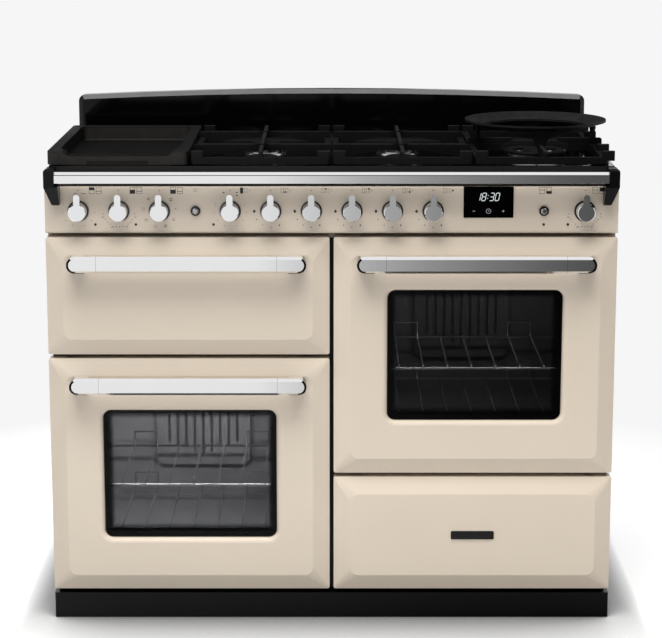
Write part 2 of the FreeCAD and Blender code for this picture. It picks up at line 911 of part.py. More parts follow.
def make_liner(name, column, low, height, length):
    """An enamelled cavity: a rounded box, open at the front, that hangs behind the front frame."""
    middle = COLUMNS[column]
    half = "(oven_width / 2)"
    shell = plate(
        "XZ_Plane",
        LINER_FACE,
        length,
        rounded(
            f"{middle} - {half} - liner_sheet",
            f"{middle} + {half} + liner_sheet",
            f"{low} - liner_sheet",
            f"{low} + {height} + liner_sheet",
            "oven_radius + liner_sheet",
        ),
    )
    hollow = plate(
        "XZ_Plane",
        f"{LINER_FACE} - 1",
        f"{length} - liner_sheet + 1",
        rounded(f"{middle} - {half}", f"{middle} + {half}", low, f"{low} + {height}", "oven_radius"),
    )
    sub_part(cut(shell, hollow), name)


def make_seals():
    """A gasket round each mouth, between the frame and the closed door's inner panel."""
    rings = []
    start = f"({FRONT} + edge_depth + liner_depth + seal_gap)"
    for column, low, height in (
        ("left", LEFT_MOUTH, "oven_height"),
        ("right", RIGHT_MOUTH, "oven_height"),
        ("left", GRILL_MOUTH, "grill_height"),
    ):
        middle = COLUMNS[column]
        half = "(oven_width / 2)"
        outer = rounded(
            f"{middle} - {half} - 3 - seal_width",
            f"{middle} + {half} + 3 + seal_width",
            f"{low} - 3 - seal_width",
            f"{low} + {height} + 3 + seal_width",
            "oven_radius + 3 + seal_width",
        )
        inner = rounded(
            f"{middle} - {half} - 3",
            f"{middle} + {half} + 3",
            f"{low} - 3",
            f"{low} + {height} + 3",
            "oven_radius + 3",
        )
        thick = f"{FRAME_FACE} - {start}"
        rings.append(
            cut(plate("XZ_Plane", start, thick, outer), plate("XZ_Plane", f"{start} - 1", f"{thick} + 2", inner))
        )
    sub_part(compound(*rings), "door_seals")


def make_hinges():
    """Each hinge is an arm from the front frame that holds a pin for the door's lugs."""
    hinges = []
    for column, base in (("left", "door_base"), ("left", GRILL_BASE), ("right", RIGHT_BASE)):
        for sign in ("-", "+"):
            at = f"({COLUMNS[column]} {sign} ({DOOR_WIDTH} / 2 - hinge_side))"
            level = f"({base} + hinge_rise)"
            pin_y = f"({FRONT} + hinge_inset)"
            arm = plate(
                "YZ_Plane",
                f"{at} - hinge_arm / 2",
                "hinge_arm",
                [
                    (f"{pin_y} - hinge_tall / 2", f"{level} - hinge_tall / 2", "4"),
                    (FRAME_FACE, f"{level} - hinge_tall / 2"),
                    (FRAME_FACE, f"{level} + hinge_tall / 2"),
                    (f"{pin_y} - hinge_tall / 2", f"{level} + hinge_tall / 2", "4"),
                ],
            )
            pin = cylinder(f"{at} - hinge_arm / 2 - 8", pin_y, level, "hinge_pin", "hinge_arm + 16", "x")
            hinges.append(fuse(arm, pin))
    sub_part(compound(*hinges), "door_hinges")


make_plinth()
make_base_frame()
make_feet()
make_side_panels()
make_rear_panel()
make_front_frame()
make_liner("left_oven_liner", "left", LEFT_MOUTH, "oven_height", "oven_depth")
make_liner("right_oven_liner", "right", RIGHT_MOUTH, "oven_height", "oven_depth")
make_liner("grill_liner", "left", GRILL_MOUTH, "grill_height", "grill_depth")
make_seals()
make_hinges()


# ---------------------------------------------------------------- inside the cavities

RUNG_X = "(oven_width / 2 - wall_gap - wire)"
SHELVES = (("left", LEFT_MOUTH, 0), ("left", LEFT_MOUTH, 2), ("right", RIGHT_MOUTH, 0), ("right", RIGHT_MOUTH, 2))


def rung_level(low, step):
    return f"({low} + rack_first + {step} * rack_pitch)"


def wire_shelf(column, low, step):
    """A wire shelf that lies on the rungs: an outer frame, bars from front to rear, and two raised stops behind."""
    middle = COLUMNS[column]
    level = f"({rung_level(low, step)} + wire + shelf_wire + rack_gap)"
    half = "(oven_width / 2 - 2 * wire - shelf_wire - 0.5)"
    front, length = f"({LINER_FACE} + rack_front)", "rack_depth"
    rods = []
    for y in (front, f"{front} + {length}"):
        rods.append(wire_rod(f"{middle} - {half}", y, level, "shelf_wire", f"2 * {half}", "x"))
    for sign in ("-", "+"):
        rods.append(wire_rod(f"{middle} {sign} {half}", front, level, "shelf_wire", length, "y"))
    for step in range(-4, 5):
        x = f"({middle} + {step} * bar_pitch)"
        rods.append(wire_rod(x, f"{front} - 2", f"{level} + shelf_wire", "bar_wire", f"{length} + 2", "y"))
        if abs(step) in (2, 3):
            rods.append(wire_rod(x, f"{front} + {length}", level, "bar_wire", "stop_height", "z"))
    for step in (-3, 2):
        start = f"({middle} + {step} * bar_pitch)"
        rods.append(
            wire_rod(start, f"{front} + {length}", f"{level} + stop_height - 1", "bar_wire", "bar_pitch", "x")
        )
    return fuse(*rods)


def side_ladder(column, sign, low):
    """A ladder of wire on one side wall: two uprights, and the rungs that the shelves lie on."""
    middle = COLUMNS[column]
    front = f"({LINER_FACE} + rack_front)"
    rods = []
    for y in (f"{front} + 30", f"{front} + rack_depth - 30"):
        wall = f"({middle} {sign} (oven_width / 2 - wire))"
        rods.append(wire_rod(wall, y, f"{low} + rack_first - 12", "wire", "5 * rack_pitch + 24", "z"))
    for step in range(6):
        rods.append(wire_rod(f"{middle} {sign} {RUNG_X}", front, rung_level(low, step), "wire", "rack_depth", "y"))
    return fuse(*rods)


def make_racks():
    pieces = [wire_shelf(*shelf) for shelf in SHELVES]
    for column, low in (("left", LEFT_MOUTH), ("right", RIGHT_MOUTH)):
        for sign in ("-", "+"):
            pieces.append(side_ladder(column, sign, low))
    sub_part(compound(*pieces), "oven_racks")


def fan_cover(column, low):
    """The pressed cover over the fan on an oven's rear wall, slotted up and down."""
    middle = COLUMNS[column]
    centre = f"({low} + oven_height / 2)"
    back = f"({LINER_FACE} + oven_depth - liner_sheet)"
    half = "(fan_cover / 2)"
    shell = plate(
        "XZ_Plane",
        f"{back} - fan_cover_depth",
        "fan_cover_depth",
        rounded(f"{middle} - {half}", f"{middle} + {half}", f"{centre} - {half}", f"{centre} + {half}", "20"),
    )
    inner = f"({half} - liner_sheet)"
    hollow = plate(
        "XZ_Plane",
        f"{back} - fan_cover_depth + liner_sheet",
        "fan_cover_depth",
        rounded(f"{middle} - {inner}", f"{middle} + {inner}", f"{centre} - {inner}", f"{centre} + {inner}", "18"),
    )
    slots = []
    for step in range(-4, 5):
        at = f"({middle} + {step} * fan_cover / 11)"
        reach = f"(fan_cover / 2 - 22 - {abs(step)} * 7)"
        slot = rounded(f"{at} - 3", f"{at} + 3", f"{centre} - {reach}", f"{centre} + {reach}", "2.9")
        slots.append(plate("XZ_Plane", f"{back} - fan_cover_depth - 1", "liner_sheet + 2", slot))
    return cut(shell, hollow, *slots)


def make_grill_parts():
    """The grill's element, which plugs into the cavity's rear wall, and the pan beneath it."""
    middle = COLUMNS["left"]
    level = f"({GRILL_MOUTH} + grill_height - 24)"
    back = f"({LINER_FACE} + grill_depth - liner_sheet)"
    rods = []
    for step, short in ((-3, "90"), (-1, "130"), (1, "130"), (3, "90")):
        rods.append(
            cylinder(
                f"{middle} + {step} * 45", f"{back} - grill_depth + 90", level, "4", f"grill_depth - {short}", "y"
            )
        )
    for start in (f"{middle} - 135", f"{middle} + 45"):
        rods.append(cylinder(start, f"{back} - grill_depth + 90", level, "4", "90", "x"))
    rods.append(cylinder(f"{middle} - 45", f"{back} - 40", level, "4", "90", "x"))
    sub_part(fuse(*rods), "grill_element")

    floor = GRILL_MOUTH
    half = "(oven_width / 2 - 14)"
    front, length = f"({LINER_FACE} + 12)", "(grill_depth - 40)"
    pan = plate(
        "XY_Plane",
        floor,
        "pan_height",
        rounded(f"{middle} - {half}", f"{middle} + {half}", front, f"{front} + {length}", "24"),
    )
    inside = plate(
        "XY_Plane",
        f"{floor} + liner_sheet",
        "pan_height",
        rounded(
            f"{middle} - {half} + liner_sheet",
            f"{middle} + {half} - liner_sheet",
            f"{front} + liner_sheet",
            f"{front} + {length} - liner_sheet",
            "22",
        ),
    )
    sub_part(cut(pan, inside), "grill_pan")


make_racks()
sub_part(compound(fan_cover("left", LEFT_MOUTH), fan_cover("right", RIGHT_MOUTH)), "fan_covers")
make_grill_parts()


# ---------------------------------------------------------------- drawer

RUNNER_LOW = "(plinth_height + 78)"


def make_drawer():
    """The drawer's sheet box, whose side strips run in two fixed channels."""
    front = f"({FRONT} + edge_depth)"
    left, right, low = DRAWER_LEFT, DRAWER_RIGHT, DRAWER_LOW
    box_outer = box(left, front, low, f"{right} - {left}", "drawer_depth", "drawer_wall")
    box_inner = box(
        f"{left} + sheet",
        f"{front} + sheet",
        f"{low} + sheet",
        f"{right} - {left} - 2 * sheet",
        "drawer_depth - 2 * sheet",
        "drawer_wall",
    )
    back_plate = plate(
        "XZ_Plane",
        front,
        "sheet",
        rounded(
            f"{COLUMN_X} - {DOOR_WIDTH} / 2 + skin / 2",
            f"{COLUMN_X} + {DOOR_WIDTH} / 2 - skin / 2",
            "door_base + skin / 2",
            "door_base + short_door - skin / 2",
            "front_radius",
        ),
    )
    strips = []
    for start in (f"{left} - {STRIP}", right):
        strips.append(
            box(
                start,
                f"{front} + drawer_depth - strip_length",
                f"{RUNNER_LOW} + sheet + runner_clearance",
                STRIP,
                "strip_length",
                "runner_height - 2 * sheet - 2 * runner_clearance",
            )
        )
    sub_part(fuse(cut(box_outer, box_inner), back_plate, *strips), "drawer_box")

    runners = []
    for web, sign in (("(sheet / 2)", 1), (f"({SIDE_X} - sheet)", -1)):
        lip = f"({web} + {sign} * runner_width)"
        inside = f"({web} + {sign} * sheet)"
        high = f"({RUNNER_LOW} + runner_height)"
        points = [
            (web, RUNNER_LOW),
            (lip, RUNNER_LOW),
            (lip, f"{RUNNER_LOW} + sheet"),
            (inside, f"{RUNNER_LOW} + sheet"),
            (inside, f"{high} - sheet"),
            (lip, f"{high} - sheet"),
            (lip, high),
            (web, high),
        ]
        if sign < 0:
            points.reverse()
        runners.append(plate("XZ_Plane", LINER_FACE, "drawer_depth", points))
    sub_part(compound(*runners), "drawer_runners")

    centre = "(door_base + short_door / 2)"
    badge = plate(
        "XZ_Plane",
        f"{FRONT} - bevel_rise - badge_thickness",
        "badge_thickness",
        rounded(
            f"{COLUMN_X} - badge_width / 2",
            f"{COLUMN_X} + badge_width / 2",
            f"{centre} - badge_height / 2",
            f"{centre} + badge_height / 2",
            "2",
        ),
    )
    sub_part(badge, "drawer_badge")


make_drawer()


# ---------------------------------------------------------------- control panel

# Where each knob's spindle is, from left to right. The middle six share a pitch about the centre line.
KNOBS = {
    "grill_knob": "(0 - knob_side)",
    "left_oven_knob": "(knob_pitch - knob_side)",
    "left_mode_knob": "(2 * knob_pitch - knob_side)",
    "hotplate_knob": "(0 - 2.5 * knob_pitch)",
    "front_left_burner_knob": "(0 - 1.5 * knob_pitch)",
    "rear_left_burner_knob": "(0 - 0.5 * knob_pitch)",
    "rear_right_burner_knob": "(0.5 * knob_pitch)",
    "front_right_burner_knob": "(1.5 * knob_pitch)",
    "wok_burner_knob": "(2.5 * knob_pitch)",
    "right_oven_knob": "knob_side",
}
BURNER_KNOBS = [name for name in KNOBS if "burner" in name]
BUTTONS = {"light_button": "(0 - light_button)", "ignition_button": "second_button"}
LAMPS = [
    ("(0 - knob_side)", 1),
    ("(knob_pitch - knob_side)", 1),
    ("(0 - 2.5 * knob_pitch)", -1),
    ("second_button", 0),
    ("knob_side", -1),
]
LAMP_SIDE = "32"
LAMP_Z = f"({KNOB_Z} - 26)"


def make_control_panel():
    """A folded sheet with the holes for spindles, buttons, lamps and the clock."""
    deep = f"({FRONT} + frame_set_back)"
    lip = f"({PANEL_BASE} - 14)"
    section = [
        (FRONT, PANEL_BASE, "4"),
        (f"{deep} - sheet", PANEL_BASE),
        (f"{deep} - sheet", lip),
        (deep, lip),
        (deep, f"{PANEL_BASE} + sheet"),
        (f"{FRONT} + sheet", f"{PANEL_BASE} + sheet", "2"),
        (f"{FRONT} + sheet", f"{PANEL_TOP} - sheet", "2"),
        (deep, f"{PANEL_TOP} - sheet"),
        (deep, PANEL_TOP),
        (FRONT, PANEL_TOP, "4"),
    ]
    skin = plate("YZ_Plane", "0 - width / 2", "width", section)
    ends = []
    for start in ("0 - width / 2", "width / 2 - sheet"):
        ends.append(
            box(start, f"{FRONT} + sheet / 2", f"{PANEL_BASE} + sheet / 2", "sheet", "panel_depth", "panel_height - sheet")
        )
    holes = []
    for x in KNOBS.values():
        holes.append(cylinder(x, f"{FRONT} - 1", KNOB_Z, "spindle + running", "sheet + 2", "y"))
    for x in BUTTONS.values():
        holes.append(cylinder(x, f"{FRONT} - 1", KNOB_Z, "button_radius + running", "sheet + 2", "y"))
    for x, side in LAMPS:
        holes.append(cylinder(f"{x} + {side} * {LAMP_SIDE}", f"{FRONT} - 1", LAMP_Z, "lamp_radius", "sheet + 2", "y"))
    holes.append(
        box("clock_left + 4", f"{FRONT} - 1", f"{PANEL_TOP} - clock_height + 3", "clock_width - 8", "sheet + 2", "clock_height - 8")
    )
    sub_part(cut(fuse(skin, *ends), *holes), "control_panel")

    clock = plate(
        "XZ_Plane",
        f"{FRONT} - 1.5",
        "1.5",
        rounded("clock_left", "clock_left + clock_width", f"{PANEL_TOP} - clock_height - 1", f"{PANEL_TOP} - 1", "2"),
    )
    sub_part(clock, "clock_display")


def make_bezels():
    """A dished ring behind each knob, and a collar round each button."""
    rings = []
    for x in KNOBS.values():
        ring = cut(
            cylinder(x, f"{FRONT} - bezel_depth", KNOB_Z, "bezel_radius", "bezel_depth", "y"),
            cylinder(x, f"{FRONT} - bezel_depth - 1", KNOB_Z, "bezel_radius - 2.5", "bezel_depth", "y"),
            cylinder(x, f"{FRONT} - bezel_depth - 1", KNOB_Z, "spindle + 1", "bezel_depth + 2", "y"),
        )
        rings.append(ring)
    for x in BUTTONS.values():
        rings.append(
            cut(
                cylinder(x, f"{FRONT} - 4", KNOB_Z, "button_bezel", "4", "y"),
                cylinder(x, f"{FRONT} - 5", KNOB_Z, "button_radius + running", "6", "y"),
            )
        )
    sub_part(compound(*rings), "control_bezels")

    lamps = []
    for x, side in LAMPS:
        lamps.append(
            cylinder(f"{x} + {side} * {LAMP_SIDE}", f"{FRONT} - 1.2", LAMP_Z, "lamp_radius", "sheet + 4", "y")
        )
    sub_part(compound(*lamps), "indicator_lamps")


def knob(name, x):
    """A turned knob with a key-shaped front: a disc with a finger that points up at rest."""
    body = new_body(name)
    place(body, x, FRONT, KNOB_Z)
    profile = [
        ("0", "18"),
        ("spindle", "18"),
        ("spindle", "0 - 1.5"),
        ("bezel_radius - 3.5", "0 - 1.5"),
        ("bezel_radius - 3.5", "0 - 6"),
        ("knob_radius - 2", "0 - 10"),
        ("knob_radius - 2", "knob_plate - knob_depth"),
        ("knob_radius", "knob_plate - knob_depth"),
        ("knob_radius", "1.5 - knob_depth"),
        ("knob_radius - 1.5", "0 - knob_depth"),
        ("0", "0 - knob_depth"),
    ]
    spin(body, outline(sketch_on("XY_Plane", "0", body), profile), "Y_Axis")
    finger = sketch_on("XZ_Plane", "0 - knob_depth + knob_plate", body)
    half = "(knob_finger / 2)"
    outline(
        finger,
        [
            (f"0 - {half}", "0"),
            (half, "0"),
            (half, "knob_reach", f"{half} - 0.1"),
            (f"0 - {half}", "knob_reach", f"{half} - 0.1"),
        ],
    )
    body.Tip = pad(body, finger, "knob_plate")
    return sub_part(body, name)


def button(name, x):
    """A domed push button whose stem slides in its collar."""
    body = new_body(name)
    place(body, x, FRONT, KNOB_Z)
    profile = [
        ("0", "12"),
        ("button_radius", "12"),
        ("button_radius", "0 - button_travel - 3"),
        ("button_radius - 2", "0 - button_travel - 5", "2"),
        ("0", "0 - button_travel - 5.5"),
    ]
    body.Tip = spin(body, outline(sketch_on("XY_Plane", "0", body), profile), "Y_Axis")
    return sub_part(body, name)


def make_gas_and_power():
    """The gas rail with a tap behind each burner knob and its pipe to the rear, and the electric switches."""
    pipe_y = f"({FRONT} + 62)"
    start = f"({KNOBS[BURNER_KNOBS[0]]} - 20)"
    parts = [
        cylinder(start, pipe_y, KNOB_Z, "gas_pipe", f"inlet_side - {start}", "x"),
        box("inlet_side - 13", f"{pipe_y} - 13", f"{KNOB_Z} - 13", "26", "26", "26"),
        cylinder("inlet_side", pipe_y, KNOB_Z, "gas_pipe", f"{REAR} - {pipe_y} - 20", "y"),
        cylinder("inlet_side", f"{REAR} - 40", KNOB_Z, "inlet_radius", "40", "y"),
    ]
    for name in BURNER_KNOBS:
        x = KNOBS[name]
        parts.append(box(f"{x} - 12", f"{FRONT} + sheet", f"{KNOB_Z} - 15", "24", "55", "30"))
    bores = [cylinder(KNOBS[n], FRONT, KNOB_Z, "spindle + running", "20", "y") for n in BURNER_KNOBS]
    bores.append(cylinder("inlet_side", f"{REAR} - 25", KNOB_Z, "inlet_bore", "30", "y"))
    sub_part(cut(fuse(*parts), *bores), "gas_rail")

    boxes = []
    for name, x in KNOBS.items():
        if name not in BURNER_KNOBS:
            case = box(f"{x} - 20", f"{FRONT} + sheet", f"{KNOB_Z} - 20", "40", "32", "40")
            boxes.append(cut(case, cylinder(x, FRONT, KNOB_Z, "spindle + running", "20", "y")))
    for x in BUTTONS.values():
        case = box(f"{x} - 12", f"{FRONT} + sheet", f"{KNOB_Z} - 12", "24", "30", "24")
        boxes.append(cut(case, cylinder(x, FRONT, KNOB_Z, "button_radius + running", "20", "y")))
    terminal = box("0 - terminal_side - 45", f"{REAR} - sheet - 50", "terminal_level - 35", "90", "50", "70")
    entry = cylinder("0 - terminal_side", f"{REAR} - sheet - 40", "terminal_level", "cable_entry", "60", "y")
    boxes.append(cut(terminal, entry))
    sub_part(compound(*boxes), "electrical_boxes")


def make_handrail():
    """The chrome rail and the two black brackets that hold its ends."""
    near_y = f"({FRONT} - rail_reach)"
    far_y = f"({near_y} + rail_depth)"
    high = "(rail_level + rail_height)"
    section = [
        (near_y, "rail_level + 3"),
        (f"{near_y} + 3", "rail_level"),
        (far_y, "rail_level", "4"),
        (far_y, high, "4"),
        (f"{near_y} + 5.5", high),
        (near_y, f"{high} - 5.5"),
    ]
    sub_part(plate("YZ_Plane", "0 - rail_half", "2 * rail_half", section), "handrail")

    brackets = []
    low = "(rail_level - 42.5)"
    top = f"({RIM} - 1)"
    for sign in (-1, 1):
        outer, inner = f"({sign} * bracket_half)", f"({sign} * rail_half)"
        foot = f"({sign} * (rail_half - 6))"
        front_view = [
            (outer, "rail_level - 5"),
            (f"{outer} - {sign} * 12", low, "5"),
            (foot, low),
            (foot, "rail_level - 3"),
            (inner, "rail_level - 3"),
            (inner, top),
            (outer, top, "6"),
        ]
        if sign > 0:
            front_view.reverse()
        side_view = [
            (FRONT, low),
            (FRONT, top),
            (f"{near_y} - 2", top, "7"),
            (f"{near_y} - 2", "rail_level - 4", "10"),
            (f"{FRONT} - 16", low, "7"),
        ]
        piece = doc.addObject("Part::Common", "bracket")
        piece.Base = plate("XZ_Plane", f"{near_y} - 4", f"{FRONT} - {near_y} + 4", front_view)
        piece.Tool = plate("YZ_Plane", f"{sign} * (bracket_half + rail_half) / 2 - 30", "60", side_view)
        brackets.append(piece)
    sub_part(compound(*brackets), "rail_brackets")


make_control_panel()
make_bezels()
for name, x in KNOBS.items():
    knob(name, x)
for name, x in BUTTONS.items():
    button(name, x)
make_gas_and_power()
make_handrail()


# ---------------------------------------------------------------- hob

MODULES = {
    "griddle": "(0 - 1.5 * module)",
    "left": "(0 - 0.5 * module)",
    "right": "(0.5 * module)",
    "wok": "(1.5 * module)",
}
SUPPORT_LOW = f"({RIM} + 2)"
SUPPORT_HALF = "((module - module_gap) / 2)"
SUPPORT_TOP = "(support_height - 2)"
BURNERS = [(MODULES[m], f"({HOB_MIDDLE} {s} burner_step)") for m in ("left", "right") for s in ("-", "+")]


def make_tray():
    """The pressed hob tray: a rim round a sunken well, hollow beneath, with a hole for each burner."""
    body = new_body("hob_tray")
    back = f"({REAR})"
    low = f"({RIM} - tray_skirt)"
    pad(body, rectangle(sketch_on("XY_Plane", low, body), "0 - tray_half", "tray_half", FRONT, back, "6"), "tray_skirt")
    well = rectangle(
        sketch_on("XY_Plane", RIM, body),
        "tray_rim - tray_half",
        "tray_half - tray_rim",
        f"{FRONT} + tray_rim",
        f"{FRONT} + tray_back - 14",
        "22",
    )
    sunk = pocket(body, well, "tray_depth")
    floor = number(TRAY_FLOOR)
    soften(body, "Fillet", sunk, "tray_fold", lambda p: near(p.z, floor))
    under = rectangle(
        sketch_on("XY_Plane", low, body),
        "sheet - tray_half",
        "tray_half - sheet",
        f"{FRONT} + sheet",
        f"{back} - sheet",
        "4",
    )
    last = pocket(body, under, "tray_skirt - tray_depth - sheet", reverse=True)
    for x, y, radius in [(*at, "21") for at in BURNERS] + [(MODULES["wok"], HOB_MIDDLE, "31")]:
        last = pocket(body, disc(sketch_on("XY_Plane", TRAY_FLOOR, body), x, y, radius), "3 * sheet", both=True)
    body.Tip = last
    sub_part(body, "hob_tray")


def burner_head(x, y):
    """A burner's bowl with a ring of flame ports."""
    body = new_body("burner_head")
    place(body, x, y, TRAY_FLOOR)
    profile = [
        ("0", "0 - 20"),
        ("14", "0 - 20"),
        ("20", "0 - 8"),
        ("20", "0"),
        ("burner_radius + 9", "0"),
        ("burner_radius + 7", "3"),
        ("burner_radius - 3", "5"),
        ("burner_radius - 3", "15"),
        ("0", "15"),
    ]
    bowl = spin(body, outline(sketch_on("XZ_Plane", "0", body), profile))
    port = pocket(
        body, rectangle(sketch_on("XY_Plane", "15", body), "burner_radius - 8", "burner_radius", "0 - 1.6", "1.6"), "6"
    )
    polar(body, port, 16)
    return body


def make_burners():
    """The four burner heads and the wok burner's double ring, and the caps that sit on them."""
    heads = [burner_head(x, y) for x, y in BURNERS]
    wok = [
        ("0", "0 - 24"),
        ("22", "0 - 24"),
        ("30", "0 - 6"),
        ("30", "0"),
        ("wok_burner_radius + 8", "0"),
        ("wok_burner_radius + 6", "3"),
        ("wok_burner_radius - 2", "5"),
        ("wok_burner_radius - 2", "16"),
        ("wok_burner_radius - 16", "16"),
        ("wok_burner_radius - 18", "6"),
        ("24", "6"),
        ("22", "16"),
        ("0", "16"),
    ]
    wok = turned([(r, f"{TRAY_FLOOR} + {h}") for r, h in wok], MODULES["wok"], HOB_MIDDLE)
    sub_part(compound(*heads, wok), "burner_heads")

    caps = []
    dome = [("0", "15"), ("burner_radius", "15"), ("burner_radius", "19"), ("burner_radius - 7", "22.5", "4"), ("0", "23.5")]
    for x, y in BURNERS:
        caps.append(turned([(r, f"{TRAY_FLOOR} + {h}", *rest) for r, h, *rest in dome], x, y))
    ring = [
        ("wok_burner_radius - 20", "16"),
        ("wok_burner_radius", "16"),
        ("wok_burner_radius", "20"),
        ("wok_burner_radius - 3", "22"),
        ("wok_burner_radius - 17", "22"),
        ("wok_burner_radius - 20", "20"),
    ]
    caps.append(turned([(r, f"{TRAY_FLOOR} + {h}") for r, h in ring], MODULES["wok"], HOB_MIDDLE))
    centre = [("0", "16"), ("25", "16"), ("25", "20"), ("20", "23"), ("0", "23.5")]
    caps.append(turned([(r, f"{TRAY_FLOOR} + {h}") for r, h in centre], MODULES["wok"], HOB_MIDDLE))
    sub_part(compound(*caps), "burner_caps")


def in_quarters(body, features):
    """Repeats the features in the other three quarters of the casting."""
    multi = body.newObject("PartDesign::MultiTransform", "quarters")
    multi.Originals = features
    steps = []
    for plane in ("YZ_Plane", "XZ_Plane"):
        step = body.newObject("PartDesign::Mirrored", "mirror")
        step.MirrorPlane = ([f for f in body.Origin.OriginFeatures if f.Role == plane][0], [""])
        steps.append(step)
    multi.Transformations = steps
    body.Tip = multi
    return multi


def support_frame(name, module, right_inset="0"):
    """A cast frame on four legs with raised corners, whose own origin is its middle, at the foot of its bars."""
    body = new_body(name)
    place(body, MODULES[module], HOB_MIDDLE, SUPPORT_LOW)
    half, length = SUPPORT_HALF, "(support_length / 2)"
    ring = sketch_on("XY_Plane", "0", body)
    rectangle(ring, f"0 - {half}", f"{half} - {right_inset}", f"0 - {length}", length, "8")
    rectangle(
        ring,
        f"support_frame - {half}",
        f"{half} - {right_inset} - support_frame",
        f"support_frame - {length}",
        f"{length} - support_frame",
        "5",
    )
    pad(body, ring, "frame_tall")
    corner = sketch_on("XY_Plane", "frame_tall / 2", body)
    rectangle(corner, f"{half} - 25", f"{half} - 1", f"{length} - support_frame", f"{length} - 1", "3")
    raised = pad(body, corner, f"{SUPPORT_TOP} - frame_tall / 2")
    leg = sketch_on("XY_Plane", "1", body)
    rectangle(leg, f"{half} - 42", f"{half} - 30", f"{length} - 18", f"{length} - 7")
    foot = pad(body, leg, "tray_depth + 3", reverse=True)
    in_quarters(body, [raised, foot])
    bar = rectangle(
        sketch_on("XY_Plane", "0", body),
        f"6 - {half}",
        f"{half} - {right_inset} - 6",
        "0 - support_frame / 2",
        "support_frame / 2",
    )
    pad(body, bar, "frame_tall")
    return body


def finger(body, plane, level, outer, inner):
    """A pot finger: full height at its outer end, with its underside rising to a narrow tip."""
    reach = f"({outer} - {inner})"
    points = [
        (f"0 - {outer}", "1"),
        (f"0 - {outer}", SUPPORT_TOP, "4"),
        (f"0 - {inner}", SUPPORT_TOP, "2"),
        (f"0 - {inner}", f"{SUPPORT_TOP} - 5"),
        (f"0 - {inner} - {reach} / 3", "frame_tall - 2"),
        (f"0 - {outer} + 22", "1"),
    ]
    return pad(body, outline(sketch_on(plane, level, body), points), "finger_width", both=True)


def make_pan_support(name, module):
    """A support over two burners, with four fingers round each."""
    body = support_frame(name, module)
    side = finger(body, "XZ_Plane", "burner_step", SUPPORT_HALF, "14")
    in_quarters(body, [side])
    front = finger(body, "YZ_Plane", "0", "(support_length / 2)", "(burner_step + 14)")
    mirrored(body, [front], "XZ_Plane")
    middle = [
        ("14 - burner_step", f"{SUPPORT_TOP} - 5"),
        ("14 - burner_step", SUPPORT_TOP, "2"),
        ("burner_step - 14", SUPPORT_TOP, "2"),
        ("burner_step - 14", f"{SUPPORT_TOP} - 5"),
        ("burner_step / 2 + 6", "frame_tall - 2"),
        ("22", "1"),
        ("0 - 22", "1"),
        ("0 - burner_step / 2 - 6", "frame_tall - 2"),
    ]
    body.Tip = pad(body, outline(sketch_on("YZ_Plane", "0", body), middle), "finger_width", both=True)
    return sub_part(body, name)


def make_wok_support():
    """The support over the large burner. The ends of its cross bars stand out at its right."""
    body = support_frame("wok_support", "wok", right_inset="14")
    ring_out = rectangle(
        sketch_on("XY_Plane", "0 - 1", body),
        "0 - wok_burner_radius - 6",
        "wok_burner_radius + 6",
        "0 - support_frame",
        "support_frame",
    )
    clear = pocket(body, ring_out, f"{SUPPORT_TOP} + 2", reverse=True)
    side = finger(body, "XZ_Plane", "0", SUPPORT_HALF, "(wok_burner_radius - 18)")
    mirrored(body, [side], "YZ_Plane")
    front = finger(body, "YZ_Plane", "0", "(support_length / 2)", "(wok_burner_radius - 18)")
    mirrored(body, [front], "XZ_Plane")
    stub = rectangle(
        sketch_on("XY_Plane", "4", body), f"{SUPPORT_HALF} - 22", f"{SUPPORT_HALF} + 1", "burner_step - 6", "burner_step + 6"
    )
    end = pad(body, stub, f"{SUPPORT_TOP} - 4")
    mirrored(body, [end], "XZ_Plane")
    return sub_part(body, "wok_support")


def make_cradle():
    """The wok ring: a dished ring on four flared vanes, each notched to sit over a finger of the support."""
    body = new_body("wok_cradle")
    place(body, MODULES["wok"], HOB_MIDDLE, "hob_height")
    dish = [
        ("cradle_throat", "cradle_height - 16"),
        ("cradle_radius", "cradle_height - 4"),
        ("cradle_radius", "cradle_height"),
        ("cradle_throat", "cradle_height - 12"),
    ]
    spin(body, outline(sketch_on("XZ_Plane", "0", body), dish))
    notch = "(finger_width / 2 + 0.3)"
    vane = [
        ("0 - 36", "cradle_height - 12.5"),
        ("0 - 13", "10", "22"),
        ("0 - 10", "0 - 4"),
        (f"0 - {notch}", "0 - 4"),
        (f"0 - {notch}", "0"),
        (notch, "0"),
        (notch, "0 - 4"),
        ("10", "0 - 4"),
        ("13", "10", "22"),
        ("36", "cradle_height - 12.5"),
    ]
    blade = pad(body, outline(sketch_on("XZ_Plane", "0 - cradle_throat - 10", body), vane), "6")
    polar(body, blade, 4)
    return sub_part(body, "wok_cradle")


